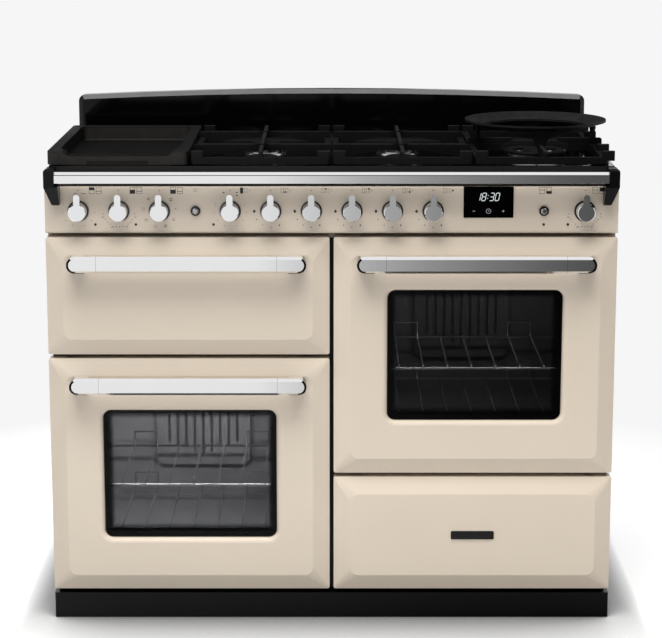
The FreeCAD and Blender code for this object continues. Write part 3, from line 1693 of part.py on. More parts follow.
def make_griddle():
    """The cast griddle: a deep pan in a wide rim that dips at the front, on four feet."""
    body = new_body("griddle")
    place(body, MODULES["griddle"], f"{HOB_MIDDLE} - 3", SUPPORT_LOW)
    side, length = "(griddle_width / 2)", "(griddle_length / 2)"

    def block(sketch, at_sides, at_front, at_rear, radius):
        left, right = f"{at_sides} - {side}", f"{side} - {at_sides}"
        return rectangle(sketch, left, right, f"{at_front} - {length}", f"{length} - {at_rear}", radius)

    rims = "griddle_side", "griddle_front", "griddle_rear"
    walls = [f"({rim} - griddle_wall)" for rim in rims]
    ground = [sketch_on("XY_Plane", "0", body) for _ in range(3)]
    pad(body, block(ground[0], "0", "0", "0", "10"), SUPPORT_TOP)
    pad(body, block(ground[1], *walls, "24"), f"griddle_deep + griddle_wall - {SUPPORT_TOP}", reverse=True)
    under = block(ground[2], *["griddle_wall"] * 3, "6")
    block(under, *walls, "24")
    pocket(body, under, f"{SUPPORT_TOP} - griddle_wall", reverse=True)
    pan = pocket(body, block(sketch_on("XY_Plane", SUPPORT_TOP, body), *rims, "18"), "griddle_deep")
    floor = number(f"{SUPPORT_LOW} + {SUPPORT_TOP} - griddle_deep")
    pan = soften(body, "Fillet", pan, "5", lambda p: near(p.z, floor - number(SUPPORT_LOW)))
    dip = outline(
        sketch_on("XZ_Plane", f"0 - {length} - 1", body),
        [
            (f"griddle_corner - {side} - 8", f"{SUPPORT_TOP} + 1"),
            (f"griddle_corner - {side} + 6", f"{SUPPORT_TOP} - griddle_dip", "12"),
            (f"{side} - griddle_corner - 6", f"{SUPPORT_TOP} - griddle_dip", "12"),
            (f"{side} - griddle_corner + 8", f"{SUPPORT_TOP} + 1"),
        ],
    )
    pocket(body, dip, "griddle_front + 2")
    grip = rectangle(sketch_on("XZ_Plane", f"0 - {length}", body), "0 - 58", "58", "0 - 1", "7")
    pocket(body, grip, "griddle_wall / 2")
    foot = disc(sketch_on("XY_Plane", f"{SUPPORT_TOP} - griddle_deep - griddle_wall + 1", body), "80", f"{length} - 71", "8")
    stand = pad(body, foot, "6", reverse=True)
    in_quarters(body, [stand])
    sub_part(body, "griddle")

    middle = MODULES["griddle"]
    top = f"({RIM} + 2 + {SUPPORT_TOP} - griddle_deep - griddle_wall - 5)"
    half = "(griddle_length / 2 - 31)"
    zone = plate(
        "XY_Plane",
        TRAY_FLOOR,
        f"{top} - {TRAY_FLOOR}",
        rounded(f"{middle} - 100", f"{middle} + 100", f"{HOB_MIDDLE} - {half}", f"{HOB_MIDDLE} + {half}", "12"),
    )
    sub_part(zone, "griddle_zone")


def make_splashback():
    """The bowed splashback: hollow behind, with a bevel along its top and ends."""
    body = new_body("splashback")
    face = f"({FRONT} + tray_back)"
    back = f"({face} + splash_thick)"

    def bow(level, inset, corner, drop="0"):
        """Upright ends, round corners and a crown of eight straight runs."""
        side, top = f"(splash_half - {inset})", f"(splash_end - {inset})"
        crown = [0.75, 0.5, 0.25, 0, -0.25, -0.5, -0.75]
        foot = [(f"0 - {side}", f"{RIM} - {drop}"), (side, f"{RIM} - {drop}")]
        rise = [(f"{at} * {side}", f"{top} + {1 - at * at} * splash_rise") for at in crown]
        edge = foot + [(side, top, corner)] + rise + [(f"0 - {side}", top, corner)]
        return outline(sketch_on("XZ_Plane", level, body), edge)

    shell = pad(body, bow(back, "0", "splash_corner"), "splash_thick")
    front, low = number(face), number(RIM)
    shell = soften(body, "Chamfer", shell, "splash_bevel", lambda p: near(p.y, front) and not near(p.z, low))
    hollow = bow(back, "(splash_bevel + sheet)", "sheet + 1", "1")
    body.Tip = pocket(body, hollow, "splash_thick - sheet", reverse=True)
    sub_part(body, "splashback")


make_tray()
make_griddle()
make_burners()
make_pan_support("pan_support_left", "left")
make_pan_support("pan_support_right", "right")
make_wok_support()
make_cradle()
make_splashback()


# ---------------------------------------------------------------- finish

doc.recompute()
bad = [f"{o.Name} {o.State}" for o in doc.Objects if "Invalid" in o.State or "Error" in o.State]
for thing in SUB_PARTS:
    if thing.Shape.isNull() or not thing.Shape.isValid() or not thing.Shape.Solids:
        bad.append(f"{thing.Label} has no valid solid")
if bad:
    raise RuntimeError("; ".join(bad))
os.makedirs("parts", exist_ok=True)
for thing in SUB_PARTS:
    thing.Shape.exportStep(f"parts/{thing.Label}.step")
print(len(SUB_PARTS), "sub-parts,", sum(len(s.Shape.Solids) for s in SUB_PARTS), "solids")
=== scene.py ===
import math

import bmesh
import bpy
from mathutils import Matrix, Vector


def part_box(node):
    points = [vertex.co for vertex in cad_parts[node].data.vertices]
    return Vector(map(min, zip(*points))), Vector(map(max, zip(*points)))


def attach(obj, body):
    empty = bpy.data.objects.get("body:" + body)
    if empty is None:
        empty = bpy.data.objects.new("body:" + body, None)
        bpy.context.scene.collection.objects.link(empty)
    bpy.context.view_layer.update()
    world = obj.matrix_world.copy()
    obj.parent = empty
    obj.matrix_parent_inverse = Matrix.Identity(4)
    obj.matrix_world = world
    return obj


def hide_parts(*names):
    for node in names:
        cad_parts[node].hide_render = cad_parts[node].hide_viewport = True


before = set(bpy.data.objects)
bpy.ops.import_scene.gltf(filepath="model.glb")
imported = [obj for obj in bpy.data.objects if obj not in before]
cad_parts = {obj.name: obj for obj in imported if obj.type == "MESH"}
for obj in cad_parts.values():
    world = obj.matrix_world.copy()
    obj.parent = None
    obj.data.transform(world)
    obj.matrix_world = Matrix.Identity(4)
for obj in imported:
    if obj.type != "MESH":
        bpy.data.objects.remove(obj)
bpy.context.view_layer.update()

# A free-standing range cooker: cream enamel fronts, chrome rail and handles, black hob.
# Pieces are given in millimetres, materials, lamps and the camera in metres, all in the part's own frame:
# +X right, +Z up, the fronts face -Y.

BODY = "cooker"
FACE = -275.0               # front of the control panel
KNOB_Z = 812.0              # the row of knobs
ICON_Z = KNOB_Z + 39.2      # the row of pictures above them
SCALE_R = 30.5              # radius of the dots and numbers round a knob
SIGN_R = 31.5               # radius of the flames
BAR_PITCH = 47.4            # between the right oven's shelf bars
SHELF_Y = -205.0            # front end of those bars
SHELF_Z = (399.5, 489.5)
DOOR_X = 0.275              # centre of each column of doors, left and right (m)
LOW_HANDLE_Z = 0.4785       # centre line of the left oven's handle (m)
HIGH_HANDLE_Z = 0.715       # centre line of the grill's and the right oven's handles (m)
WINDOW_HALF = 0.168         # half the width of a door's glass (m)
CAST_TOP = 0.9244           # top of the pan supports (m)
GRIDDLE_TOP = 0.9232
PHOTO_WIDE = 662            # photo's width and its focal length (pixels)
FOCAL = 2150.0
SENSOR = 36.0
PITCH = 11.615              # how far the camera looks down (degrees)
scene = bpy.context.scene


# ---------------------------------------------------------------- shaders

class Nodes:
    """A node tree that is made one call at a time."""

    def __init__(self, tree, output):
        self.tree = tree
        tree.nodes.clear()
        self.out = self.add(output)

    def add(self, kind, inputs=None, **props):
        node = self.tree.nodes.new(kind)
        for key, value in props.items():
            setattr(node, key, value)
        for key, value in (inputs or {}).items():
            self.put(node.inputs[key], value)
        return node

    def put(self, socket, value):
        if isinstance(value, bpy.types.NodeSocket):
            self.tree.links.new(value, socket)
        else:
            socket.default_value = value

    def maths(self, operation, a, b=0.0):
        return self.add("ShaderNodeMath", {0: a, 1: b}, operation=operation).outputs[0]

    def shine(self, shader):
        """Sends the shader to the output."""
        self.put(self.out.inputs["Surface"], shader.outputs[0])


class Shader(Nodes):
    """A material and the textures it is made from."""

    def __init__(self, name):
        self.mat = bpy.data.materials.new(name)
        self.mat.use_nodes = True
        super().__init__(self.mat.node_tree, "ShaderNodeOutputMaterial")

    def place(self, scale=(1, 1, 1)):
        at = self.add("ShaderNodeTexCoord")
        return self.add("ShaderNodeMapping", {"Vector": at.outputs["Object"], "Scale": scale}).outputs[0]

    def axes(self):
        """The place's own X, Y and Z."""
        return self.add("ShaderNodeSeparateXYZ", {"Vector": self.place()}).outputs

    def noise(self, scale, detail=3.0, rough=0.5, stretch=(1, 1, 1)):
        return self.add(
            "ShaderNodeTexNoise",
            {"Vector": self.place(stretch), "Scale": scale, "Detail": detail, "Roughness": rough},
        ).outputs["Fac"]

    def cells(self, scale, output="Distance"):
        return self.add("ShaderNodeTexVoronoi", {"Vector": self.place(), "Scale": scale}).outputs[output]

    def span(self, value, low, high, from_low=0.0, from_high=1.0):
        return self.add(
            "ShaderNodeMapRange",
            {"Value": value, "From Min": from_low, "From Max": from_high, "To Min": low, "To Max": high},
        ).outputs[0]

    def ramp(self, value, stops):
        node = self.add("ShaderNodeValToRGB", {"Fac": value})
        ramp = node.color_ramp
        while len(ramp.elements) < len(stops):
            ramp.elements.new(0.5)
        for element, (at, colour) in zip(ramp.elements, stops):
            element.position = at
            element.color = (*colour, 1)
        return node.outputs["Color"]

    def mix(self, fac, a, b):
        node = self.add("ShaderNodeMix", data_type="RGBA")
        self.put(node.inputs["Factor"], fac)
        self.put(node.inputs["A"], a)
        self.put(node.inputs["B"], b)
        return node.outputs["Result"]

    def bump(self, height, strength, distance, normal=None):
        inputs = {"Height": height, "Strength": strength, "Distance": distance}
        if normal is not None:
            inputs["Normal"] = normal
        return self.add("ShaderNodeBump", inputs).outputs[0]

    def surface(self, **inputs):
        names = {"colour": "Base Color", "rough": "Roughness", "metal": "Metallic", "normal": "Normal",
                 "alpha": "Alpha", "glow": "Emission Color", "glow_strength": "Emission Strength",
                 "level": "Specular IOR Level"}
        self.shine(self.add("ShaderNodeBsdfPrincipled", {names[k]: v for k, v in inputs.items()}))
        return self.mat


def linear(r, g, b):
    """A colour given as 0-255 screen values."""
    return tuple(((v / 255 + 0.055) / 1.055) ** 2.4 if v > 10 else v / 255 / 12.92 for v in (r, g, b))


def tones(shader, colour, spread, scale, detail=3.0):
    """The colour with a slow drift a little darker and lighter."""
    low = tuple(c * (1 - spread) for c in colour)
    high = tuple(min(1.0, c * (1 + spread)) for c in colour)
    return shader.ramp(shader.noise(scale, detail), [(0.3, low), (0.7, high)])


FINE = 0.00002      # depth of the finest bumps (m)


def grey(value):
    return (value, value, value, 1)


def enamel(name, colour, rough=0.16, spread=0.03, grain=260.0, level=0.5):
    """Fired glass enamel: a glossy skin with faint orange peel and pinhead specks."""
    s = Shader(name)
    peel = s.bump(s.noise(grain, 2.0), 0.25, FINE)
    specks = s.span(s.cells(2600), 0.94, 1.0, 0.03, 0.10)
    base = s.mix(specks, (*[c * 0.7 for c in colour], 1), tones(s, colour, spread, 7.0))
    return s.surface(colour=base, rough=s.span(s.noise(45, 4.0), rough - 0.04, rough + 0.05), normal=peel,
                     level=level)


def brushed(name, colour, rough, across, strength=0.10, drift=0.05):
    """Metal with a fine grain: across is how much tighter the grain is on each axis."""
    s = Shader(name)
    grain = s.noise(30, 4.0, 0.6, across)
    return s.surface(colour=tones(s, colour, drift, 14.0), metal=1.0,
                     rough=s.span(grain, rough * 0.7, rough * 1.4), normal=s.bump(grain, strength, FINE))


def within(s, value, low, high):
    """1 where the value lies between the two bounds."""
    return s.maths("MULTIPLY", s.maths("GREATER_THAN", value, low), s.maths("LESS_THAN", value, high))


def polished(s, colour, dark, line, rough):
    """Mirror chrome drawn along X, with the line's tone where dark is 1."""
    grain = s.noise(30, 4.0, 0.6, (0.6, 22, 22))
    return s.surface(colour=s.mix(dark, tones(s, colour, 0.01, 14.0), line), metal=1.0,
                     rough=s.span(grain, 0.05, rough), normal=s.bump(grain, 0.02, FINE))


def handle_chrome(name, colour):
    """Chrome whose rounded ends have a painted dark reflection on their bevel and painted shade along their
    lower edge, with a fine joint where each end piece meets the bar.
    """
    s = Shader(name)
    at = s.axes()
    along = s.maths("ABSOLUTE", s.maths("SUBTRACT", s.maths("ABSOLUTE", at["X"]), DOOR_X))
    line_z = s.mix(s.maths("GREATER_THAN", at["Z"], 0.6), grey(LOW_HANDLE_Z), grey(HIGH_HANDLE_Z))
    rise = s.maths("SUBTRACT", at["Z"], line_z)
    past = s.maths("SUBTRACT", along, 0.211)    # beyond the centre of the rounded end
    radius = s.maths("SQRT", s.maths("ADD", s.maths("MULTIPLY", past, past), s.maths("MULTIPLY", rise, rise)))
    # Painted dark reflection: a crescent round each rounded end. Painted shade: a band along its lower edge. The
    # seam is a real joint.
    ring = s.maths("MULTIPLY", within(s, radius, 0.0118, 0.0175), s.maths("GREATER_THAN", past, -0.0005))
    painted_reflection_arc = s.maths("MULTIPLY", ring, s.maths("LESS_THAN", s.maths("SUBTRACT", rise, past), 0.004))
    painted_shade_below = s.maths("MULTIPLY", within(s, rise, -0.0175, -0.0146), within(s, past, -0.018, 0.0))
    seam = s.maths("MULTIPLY", within(s, along, 0.1707, 0.1713), 0.6)
    dark = s.maths("MINIMUM", s.maths("ADD", s.maths("ADD", painted_reflection_arc, painted_shade_below), seam), 1.0)
    return polished(s, colour, dark, grey(0.012), 0.09)


def rail_chrome(name, colour):
    """Chrome with painted dark reflections: thin dark lines along the edges that frame the rail's flat front,
    the lower one on the bevel that faces down.
    """
    s = Shader(name)
    at = s.axes()
    # Painted dark reflections: a thin line along the top edge of the flat front and a band on the lower bevel.
    lines = s.maths("ADD", within(s, at["Z"], 0.8848, 0.8860), within(s, at["Z"], 0.8668, 0.8698))
    dark = s.maths("MULTIPLY", lines, s.maths("LESS_THAN", at["Y"], -0.308))
    return polished(s, colour, dark, (0.02, 0.02, 0.021, 1), 0.10)


def turned_to(s, y, z=0.0):
    """How far a surface looks the given way, from -1 to 1."""
    facing = s.add("ShaderNodeSeparateXYZ", {"Vector": s.add("ShaderNodeNewGeometry").outputs["Normal"]}).outputs
    return s.maths("ADD", s.maths("MULTIPLY", facing["Y"], y), s.maths("MULTIPLY", facing["Z"], z))


def bevelled_black(name, colour, painted_sheen, up):
    """Black enamel with a painted sheen: faces that look forward and so far up are painted a satin grey,
    standing in for the light they reflect.
    """
    s = Shader(name)
    bevel = s.span(turned_to(s, -math.sqrt(1 - up * up), up), 0.0, 1.0, 0.93, 0.97)
    return s.surface(colour=s.mix(bevel, tones(s, colour, 0.15, 7.0), tones(s, painted_sheen, 0.06, 30.0)), level=0.16,
                     rough=s.span(bevel, 0.08, 0.4), normal=s.bump(s.noise(200, 2.0), 0.25, FINE))


def cast(name, colour, front, rough=0.62, top=CAST_TOP, top_highlight_tone=0.012):
    """Sand-cast iron coated in matt enamel: a pimpled skin, a duller bloom, fronts painted paler as painted
    light, and a painted highlight in a thin band along the tops.
    """
    s = Shader(name)
    lumps = s.bump(s.noise(420, 5.0, 0.65), 0.4, 0.0002)
    skin = s.bump(s.cells(1300), 0.3, 0.0001, lumps)
    dull, pale = (tuple(c * share for c in colour) for share in (0.65, 1.7))
    bloom = s.ramp(s.noise(26, 5.0, 0.6), [(0.35, dull), (0.75, pale)])
    height = s.span(s.axes()["Z"], 0.0, 1.0, top - 0.0016, top)
    # Painted highlight: a thin band at the very top, lighter in patches, stands in for the light caught along
    # the top edges.
    painted_top_highlight = s.maths("MULTIPLY", height, s.span(s.noise(60, 3.0), 0.2, 0.9, 0.3, 0.7))
    # Painted light: faces that look forward are painted the paler front colour.
    painted_front_light = s.span(turned_to(s, -1.0), 0.0, 1.0, 0.6, 0.95)
    base = s.mix(s.maths("MULTIPLY", painted_front_light, 0.9), bloom, tones(s, front, 0.25, 40.0))
    return s.surface(colour=s.mix(painted_top_highlight, base, grey(top_highlight_tone)), level=0.2,
                     rough=s.span(s.noise(150, 4.0), rough - 0.1, rough + 0.12), normal=skin)


def plastic(name, colour, rough=0.45, grain=900.0, level=0.5):
    """A moulded or painted skin with a fine texture."""
    s = Shader(name)
    return s.surface(colour=tones(s, colour, 0.12, 30.0), level=level,
                     rough=s.span(s.noise(60), rough - 0.07, rough + 0.08),
                     normal=s.bump(s.noise(grain, 3.0), 0.3, 0.00005))


def galvanised(name, colour):
    """Zinc-coated sheet with its spangle."""
    s = Shader(name)
    spangle = s.add("ShaderNodeRGBToBW", {"Color": s.cells(130.0, "Color")}).outputs[0]
    dull, bright = (tuple(c * share for c in colour) for share in (0.8, 1.12))
    base = s.ramp(spangle, [(0.2, dull), (0.8, bright)])
    return s.surface(colour=base, metal=1.0, rough=s.span(spangle, 0.34, 0.5),
                     normal=s.bump(s.noise(300), 0.15, 0.00005))


def window_glass(name, cx, low, high, alpha):
    """Tinted door glass with the printed black border that fades out in dots."""
    s = Shader(name)
    at = s.axes()
    across = s.maths("SUBTRACT", WINDOW_HALF, s.maths("ABSOLUTE", s.maths("SUBTRACT", at["X"], cx)))
    up = s.maths("MINIMUM", s.maths("SUBTRACT", at["Z"], low), s.maths("SUBTRACT", high, at["Z"]))
    edge = s.maths("MINIMUM", across, up)
    dots = s.span(s.cells(620.0), -0.002, 0.003, 0.1, 0.7)
    solid = s.span(s.maths("ADD", edge, dots), 1.0, 0.0, 0.003, 0.019)
    smear = s.span(s.noise(18, 4.0), -0.02, 0.03)
    clear = s.maths("ADD", s.maths("MULTIPLY", s.maths("SUBTRACT", 1.0, solid), alpha), solid)
    return s.surface(colour=(0.001, 0.001, 0.0012, 1), rough=s.span(s.noise(30), 0.02, 0.05), level=0.12,
                     alpha=s.maths("ADD", clear, smear))


def cavity(name, left, right, span):
    """Speckled oven enamel with painted shade: its tone runs from the left colour to the right colour over the
    span of X, standing in for how the light falls inside.
    """
    s = Shader(name)
    painted_shade = s.ramp(s.span(s.axes()["X"], 0.0, 1.0, *span), [(0.0, left), (1.0, right)])
    specks = s.span(s.cells(900), 1.0, 0.0, 0.12, 0.2)
    base = s.mix(s.maths("MULTIPLY", specks, 0.3), painted_shade, (0.5, 0.5, 0.52, 1))
    return s.surface(colour=base, rough=s.span(s.noise(50), 0.3, 0.45),
                     normal=s.bump(s.noise(500), 0.25, 0.00006))


def glowing(name, colour, strength):
    """A lit sign behind glass, a little uneven."""
    s = Shader(name)
    return s.surface(colour=grey(0.02), glow=tones(s, colour, 0.06, 300.0), glow_strength=strength, rough=0.3)


def ink(name, colour):
    """Screen print, slightly uneven."""
    s = Shader(name)
    return s.surface(colour=tones(s, colour, 0.25, 700.0), rough=0.5, normal=s.bump(s.noise(1500), 0.2, FINE))


CREAM = linear(216, 203, 186)
M = {
    "cream": enamel("cream_enamel", CREAM, rough=0.2, spread=0.012, level=0.45),
    # Painted sheen: the hob tray's forward faces and the splashback's forward-and-up chamfer are painted a
    # lighter grey.
    "black": bevelled_black("black_enamel", (0.0012, 0.0012, 0.0014), (0.016, 0.016, 0.017), up=0.0),
    "splash": bevelled_black("splash_enamel", (0.0012, 0.0012, 0.0014), (0.13, 0.13, 0.132), up=0.7071),
    "frame": enamel("frame_enamel", (0.006, 0.006, 0.0065), rough=0.34, spread=0.12, level=0.2),
    "liner": enamel("liner_enamel", (0.04, 0.04, 0.044), rough=0.28, spread=0.1),
    # Painted shade: the left oven is painted lighter than the right and each darker towards the right. The fan
    # covers are painted light in the left oven and dark in the right.
    "left_cavity": cavity("left_cavity_enamel", (0.34, 0.34, 0.355), (0.20, 0.20, 0.21), (-0.49, -0.06)),
    "right_cavity": cavity("right_cavity_enamel", (0.05, 0.05, 0.052), (0.022, 0.022, 0.024), (0.06, 0.49)),
    "grill_cavity": cavity("grill_cavity_enamel", (0.07, 0.07, 0.075), (0.07, 0.07, 0.075), (-0.5, 0.0)),
    "fan_cover": cavity("fan_cover_enamel", (0.27, 0.27, 0.28), (0.028, 0.028, 0.03), (-0.05, 0.05)),
    "charcoal": plastic("charcoal_paint", (0.0022, 0.0022, 0.0024), 0.22, 1200.0, 0.14),
    "side": enamel("side_paint", (0.016, 0.016, 0.0175), rough=0.36, spread=0.08, grain=900.0, level=0.3),
    "zinc": galvanised("zinc_steel", (0.55, 0.56, 0.57)),
    "chrome": rail_chrome("chrome_trim", (0.86, 0.862, 0.868)),
    "handle": handle_chrome("handle_chrome", (0.86, 0.862, 0.868)),
    "knob": brushed("knob_chrome", (0.84, 0.845, 0.855), 0.11, (18, 1, 1), 0.02, 0.015),
    "bracket": enamel("bracket_black", (0.003, 0.003, 0.0034), rough=0.25, spread=0.2, grain=500.0, level=0.14),
    "badge": plastic("badge_black", (0.006, 0.006, 0.006), 0.2, 1500.0, 0.35),
    "bezel": brushed("bezel_chrome", (0.12, 0.122, 0.125), 0.12, (10, 10, 10), 0.05, 0.05),
    "collar": plastic("collar_black", (0.003, 0.003, 0.003), 0.16, 1500.0),
    "dome": brushed("dome_chrome", (0.42, 0.42, 0.43), 0.06, (6, 6, 6), 0.01, 0.02),
    "lamp": plastic("lamp_red", (0.045, 0.016, 0.014), 0.25, 800.0),
    "display": enamel("display_black", (0.0003, 0.0003, 0.0004), rough=0.08, level=0.04),
    "glass_left": window_glass("door_glass_left", -DOOR_X, 0.1665, 0.4235, 0.18),
    "glass_right": window_glass("door_glass_right", DOOR_X, 0.403, 0.660, 0.20),
    "cast": cast("cast_black", (0.0016, 0.0016, 0.0018), (0.0032, 0.0032, 0.0036)),
    "griddle": cast("griddle_black", (0.0014, 0.0013, 0.0012), (0.019, 0.017, 0.0155), 0.5, GRIDDLE_TOP, 0.006),
    "alloy": brushed("burner_alloy", (0.55, 0.55, 0.56), 0.2, (3, 3, 12), 0.15, 0.12),
    "cap": enamel("cap_enamel", (0.003, 0.003, 0.0032), rough=0.4, spread=0.2, grain=600.0, level=0.2),
    "zone": enamel("zone_glass", (0.004, 0.004, 0.0045), rough=0.12, spread=0.1, grain=400.0, level=0.2),
    "seal": plastic("seal_black", (0.014, 0.014, 0.015), 0.7, 1800.0),
    "element": brushed("element_grey", (0.15, 0.145, 0.14), 0.45, (6, 1, 6), 0.3, 0.25),
    "wire": brushed("shelf_wire", (0.72, 0.73, 0.745), 0.22, (8, 8, 8), 0.06, 0.05),
    "fitting": brushed("gas_fittings", (0.55, 0.55, 0.56), 0.36, (5, 5, 5), 0.15, 0.08),
    "box": plastic("box_plastic", (0.02, 0.02, 0.02), 0.5),
    "foot": plastic("foot_plastic", (0.014, 0.014, 0.014), 0.6),
    "ink": ink("panel_ink", (0.005, 0.0045, 0.004)),
    "faint": ink("panel_ink_faint", (0.075, 0.063, 0.05)),
    "segment": glowing("clock_segment", (0.86, 0.92, 0.95), 1.0),
    "icon": glowing("clock_icon", (0.42, 0.45, 0.5), 0.8),
    "tip": plastic("shelf_tip", (0.75, 0.76, 0.78), 0.25, 900.0),
}

CARRIED = {
    "cream": ["grill_door_panel", "left_door_panel", "right_door_panel", "drawer_front", "control_panel"],
    "black": ["hob_tray"],
    "splash": ["splashback"],
    "frame": ["front_frame"],
    "liner": ["grill_door_liner", "left_door_liner", "right_door_liner"],
    "left_cavity": ["left_oven_liner"],
    "right_cavity": ["right_oven_liner"],
    "grill_cavity": ["grill_liner"],
    "fan_cover": ["fan_covers"],
    "charcoal": ["plinth"],
    "side": ["side_panels"],
    "zinc": ["base_frame", "rear_panel", "drawer_box", "drawer_runners", "door_hinges"],
    "chrome": ["handrail"],
    "handle": ["grill_door_handle", "left_door_handle", "right_door_handle"],
    "knob": ["grill_knob", "left_oven_knob", "left_mode_knob", "hotplate_knob", "rear_left_burner_knob",
             "front_left_burner_knob", "rear_right_burner_knob", "front_right_burner_knob", "wok_burner_knob",
             "right_oven_knob"],
    "dome": ["light_button", "ignition_button"],
    "bracket": ["rail_brackets"],
    "badge": ["drawer_badge"],
    "lamp": ["indicator_lamps"],
    "display": ["clock_display"],
    "glass_left": ["left_door_glass"],
    "glass_right": ["right_door_glass"],
    "cast": ["pan_support_left", "pan_support_right", "wok_support", "wok_cradle"],
    "griddle": ["griddle"],
    "alloy": ["burner_heads"],
    "cap": ["burner_caps"],
    "zone": ["griddle_zone"],
    "seal": ["door_seals"],
    "element": ["grill_element"],
    "wire": ["oven_racks", "grill_pan"],
    "fitting": ["gas_rail"],
    "box": ["electrical_boxes"],
    "foot": ["levelling_feet"],
}
for key, names in CARRIED.items():
    for name in names:
        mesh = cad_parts[name].data
        mesh.materials.clear()
        mesh.materials.append(M[key])


# ---------------------------------------------------------------- pieces

def solid(name, bm, material):
    """The mesh as an object in the scene."""
    mesh = bpy.data.meshes.new(name)
    bm.to_mesh(mesh)
    bm.free()
    mesh.materials.append(material)
    thing = bpy.data.objects.new(name, mesh)
    scene.collection.objects.link(thing)
    return thing


def piece(name, bm, material, body, smooth=False):
    """The mesh, given in millimetres, as a piece that rides on the body."""
    bmesh.ops.remove_doubles(bm, verts=bm.verts, dist=1e-5)
    bmesh.ops.recalc_face_normals(bm, faces=bm.faces)
    thing = solid(name, bm, M[material])
    mesh = thing.data
    mesh.transform(Matrix.Scale(0.001, 4))
    for face in mesh.polygons:
        face.use_smooth = smooth
    if smooth:
        mesh.set_sharp_from_angle(angle=math.radians(35))
    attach(thing, body)
    return thing


def lathe(bm, profile, centre, axis="y", steps=48):
    """Turns (radius, height) points about the axis through the centre."""
    cx, cy, cz = centre
    rings = []
    for radius, height in profile:
        ring = []
        for i in range(steps if radius > 0 else 1):
            turn = math.tau * i / steps
            a, b = radius * math.cos(turn), radius * math.sin(turn)
            across, up = (height, b) if axis == "y" else (b, height)
            ring.append(bm.verts.new((cx + a, cy + across, cz + up)))
        rings.append(ring)
    for low, high in zip(rings, rings[1:]):
        for i in range(steps):
            a, b = low[i % len(low)], low[(i + 1) % len(low)]
            c, d = high[(i + 1) % len(high)], high[i % len(high)]
            corners = list(dict.fromkeys((a, b, c, d)))
            if len(corners) > 2:
                bm.faces.new(corners)
    return bm


def slab(bm, points, y_near, y_far):
    """A prism with the (x, z) outline between two depths."""
    near = [bm.verts.new((x, y_near, z)) for x, z in points]
    far = [bm.verts.new((x, y_far, z)) for x, z in points]
    bm.faces.new(near)
    bm.faces.new(far[::-1])
    for i in range(len(points)):
        j = (i + 1) % len(points)
        bm.faces.new((near[i], far[i], far[j], near[j]))


class Marks:
    """Printed marks on a flat front, gathered into one thin mesh."""

    def __init__(self, face=FACE, thick=0.1, sink=0.04):
        self.bm = bmesh.new()
        self.near, self.far = face - thick, face + sink

    def area(self, points):
        slab(self.bm, points, self.near, self.far)

    def block(self, x, z, wide, tall):
        left, right, low, high = x - wide / 2, x + wide / 2, z - tall / 2, z + tall / 2
        self.area([(left, low), (right, low), (right, high), (left, high)])

    def frame(self, x, z, wide, tall, line):
        self.block(x, z + (tall - line) / 2, wide, line)
        self.block(x, z - (tall - line) / 2, wide, line)
        for side in (-1, 1):
            self.block(x + side * (wide - line) / 2, z, line, tall - 2 * line)

    def dot(self, x, z, radius, sides=14):
        turns = [math.tau * i / sides for i in range(sides)]
        self.area([(x + radius * math.cos(t), z + radius * math.sin(t)) for t in turns])

    def ring(self, x, z, radius, line, steps=28):
        inner, outer = radius - line / 2, radius + line / 2
        for i in range(steps):
            a, b = (math.radians(360.0 * k / steps) for k in (i, i + 1))
            self.area([(x + r * math.cos(t), z + r * math.sin(t)) for r, t in
                       ((inner, a), (outer, a), (outer, b), (inner, b))])

    def bar(self, x0, z0, x1, z1, line):
        along = Vector((x1 - x0, z1 - z0)).normalized() * line / 2
        nx, nz = -along.y, along.x
        self.area([(x0 + nx, z0 + nz), (x0 - nx, z0 - nz), (x1 - nx, z1 - nz), (x1 + nx, z1 + nz)])

    def flame(self, x, z, tall):
        half = tall * 0.36
        side = [(0, -0.5), (0.7, -0.36), (1.0, -0.08), (0.72, 0.14), (0.42, 0.22), (0.30, 0.1), (0.0, 0.5)]
        left = [(-0.45, 0.16), (-0.9, -0.05), (-0.7, -0.36)]
        self.area([(x + a * half, z + b * tall) for a, b in side + left])

    def text(self, words, x, z, tall):
        curve = bpy.data.curves.new("words", "FONT")
        curve.body = words
        curve.size = tall / 0.7
        curve.align_x, curve.align_y = "CENTER", "CENTER"
        curve.extrude = (self.far - self.near) / 2
        thing = bpy.data.objects.new("words", curve)
        scene.collection.objects.link(thing)
        bpy.context.view_layer.update()
        mesh = bpy.data.meshes.new_from_object(thing.evaluated_get(bpy.context.evaluated_depsgraph_get()))
        upright = Matrix.Rotation(math.radians(90), 4, "X")
        mesh.transform(Matrix.Translation((x, (self.near + self.far) / 2, z)) @ upright)
        self.bm.from_mesh(mesh)
        bpy.data.objects.remove(thing)
        bpy.data.meshes.remove(mesh)
        bpy.data.curves.remove(curve)

    def done(self, name, material, slot="cream_enamel"):
        return piece(name, self.bm, material, BODY)


def around(x, degrees, radius, z=KNOB_Z):
    """A point on a knob's scale, clockwise from the top."""
    turn = math.radians(degrees)
    return x + radius * math.sin(turn), z + radius * math.cos(turn)


def centre_of(node):
    low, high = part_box(node)
    return (low + high) * 500


KNOB_X = sorted(centre_of(n).x for n in CARRIED["knob"])
BUTTON_X = [centre_of("light_button").x, centre_of("ignition_button").x]


def oven_picture(marks, lines, x, filled):
    """The two columns of cavities, with the one that the knob works filled in."""
    wide, tall, line = 10.4, 12.5, 0.7
    for side, split in ((-1, 0.42), (1, 0.62)):
        px = x + side * (wide + 2.8) / 2
        upper, lower = tall * split, tall * (1 - split)
        for key, z, high in (("upper", ICON_Z + (tall - upper) / 2, upper),
                             ("lower", ICON_Z - (tall - lower) / 2, lower)):
            if filled == (side, key):
                marks.block(px, z, wide, high)
            else:
                lines.frame(px, z, wide, high + line / 2, line)


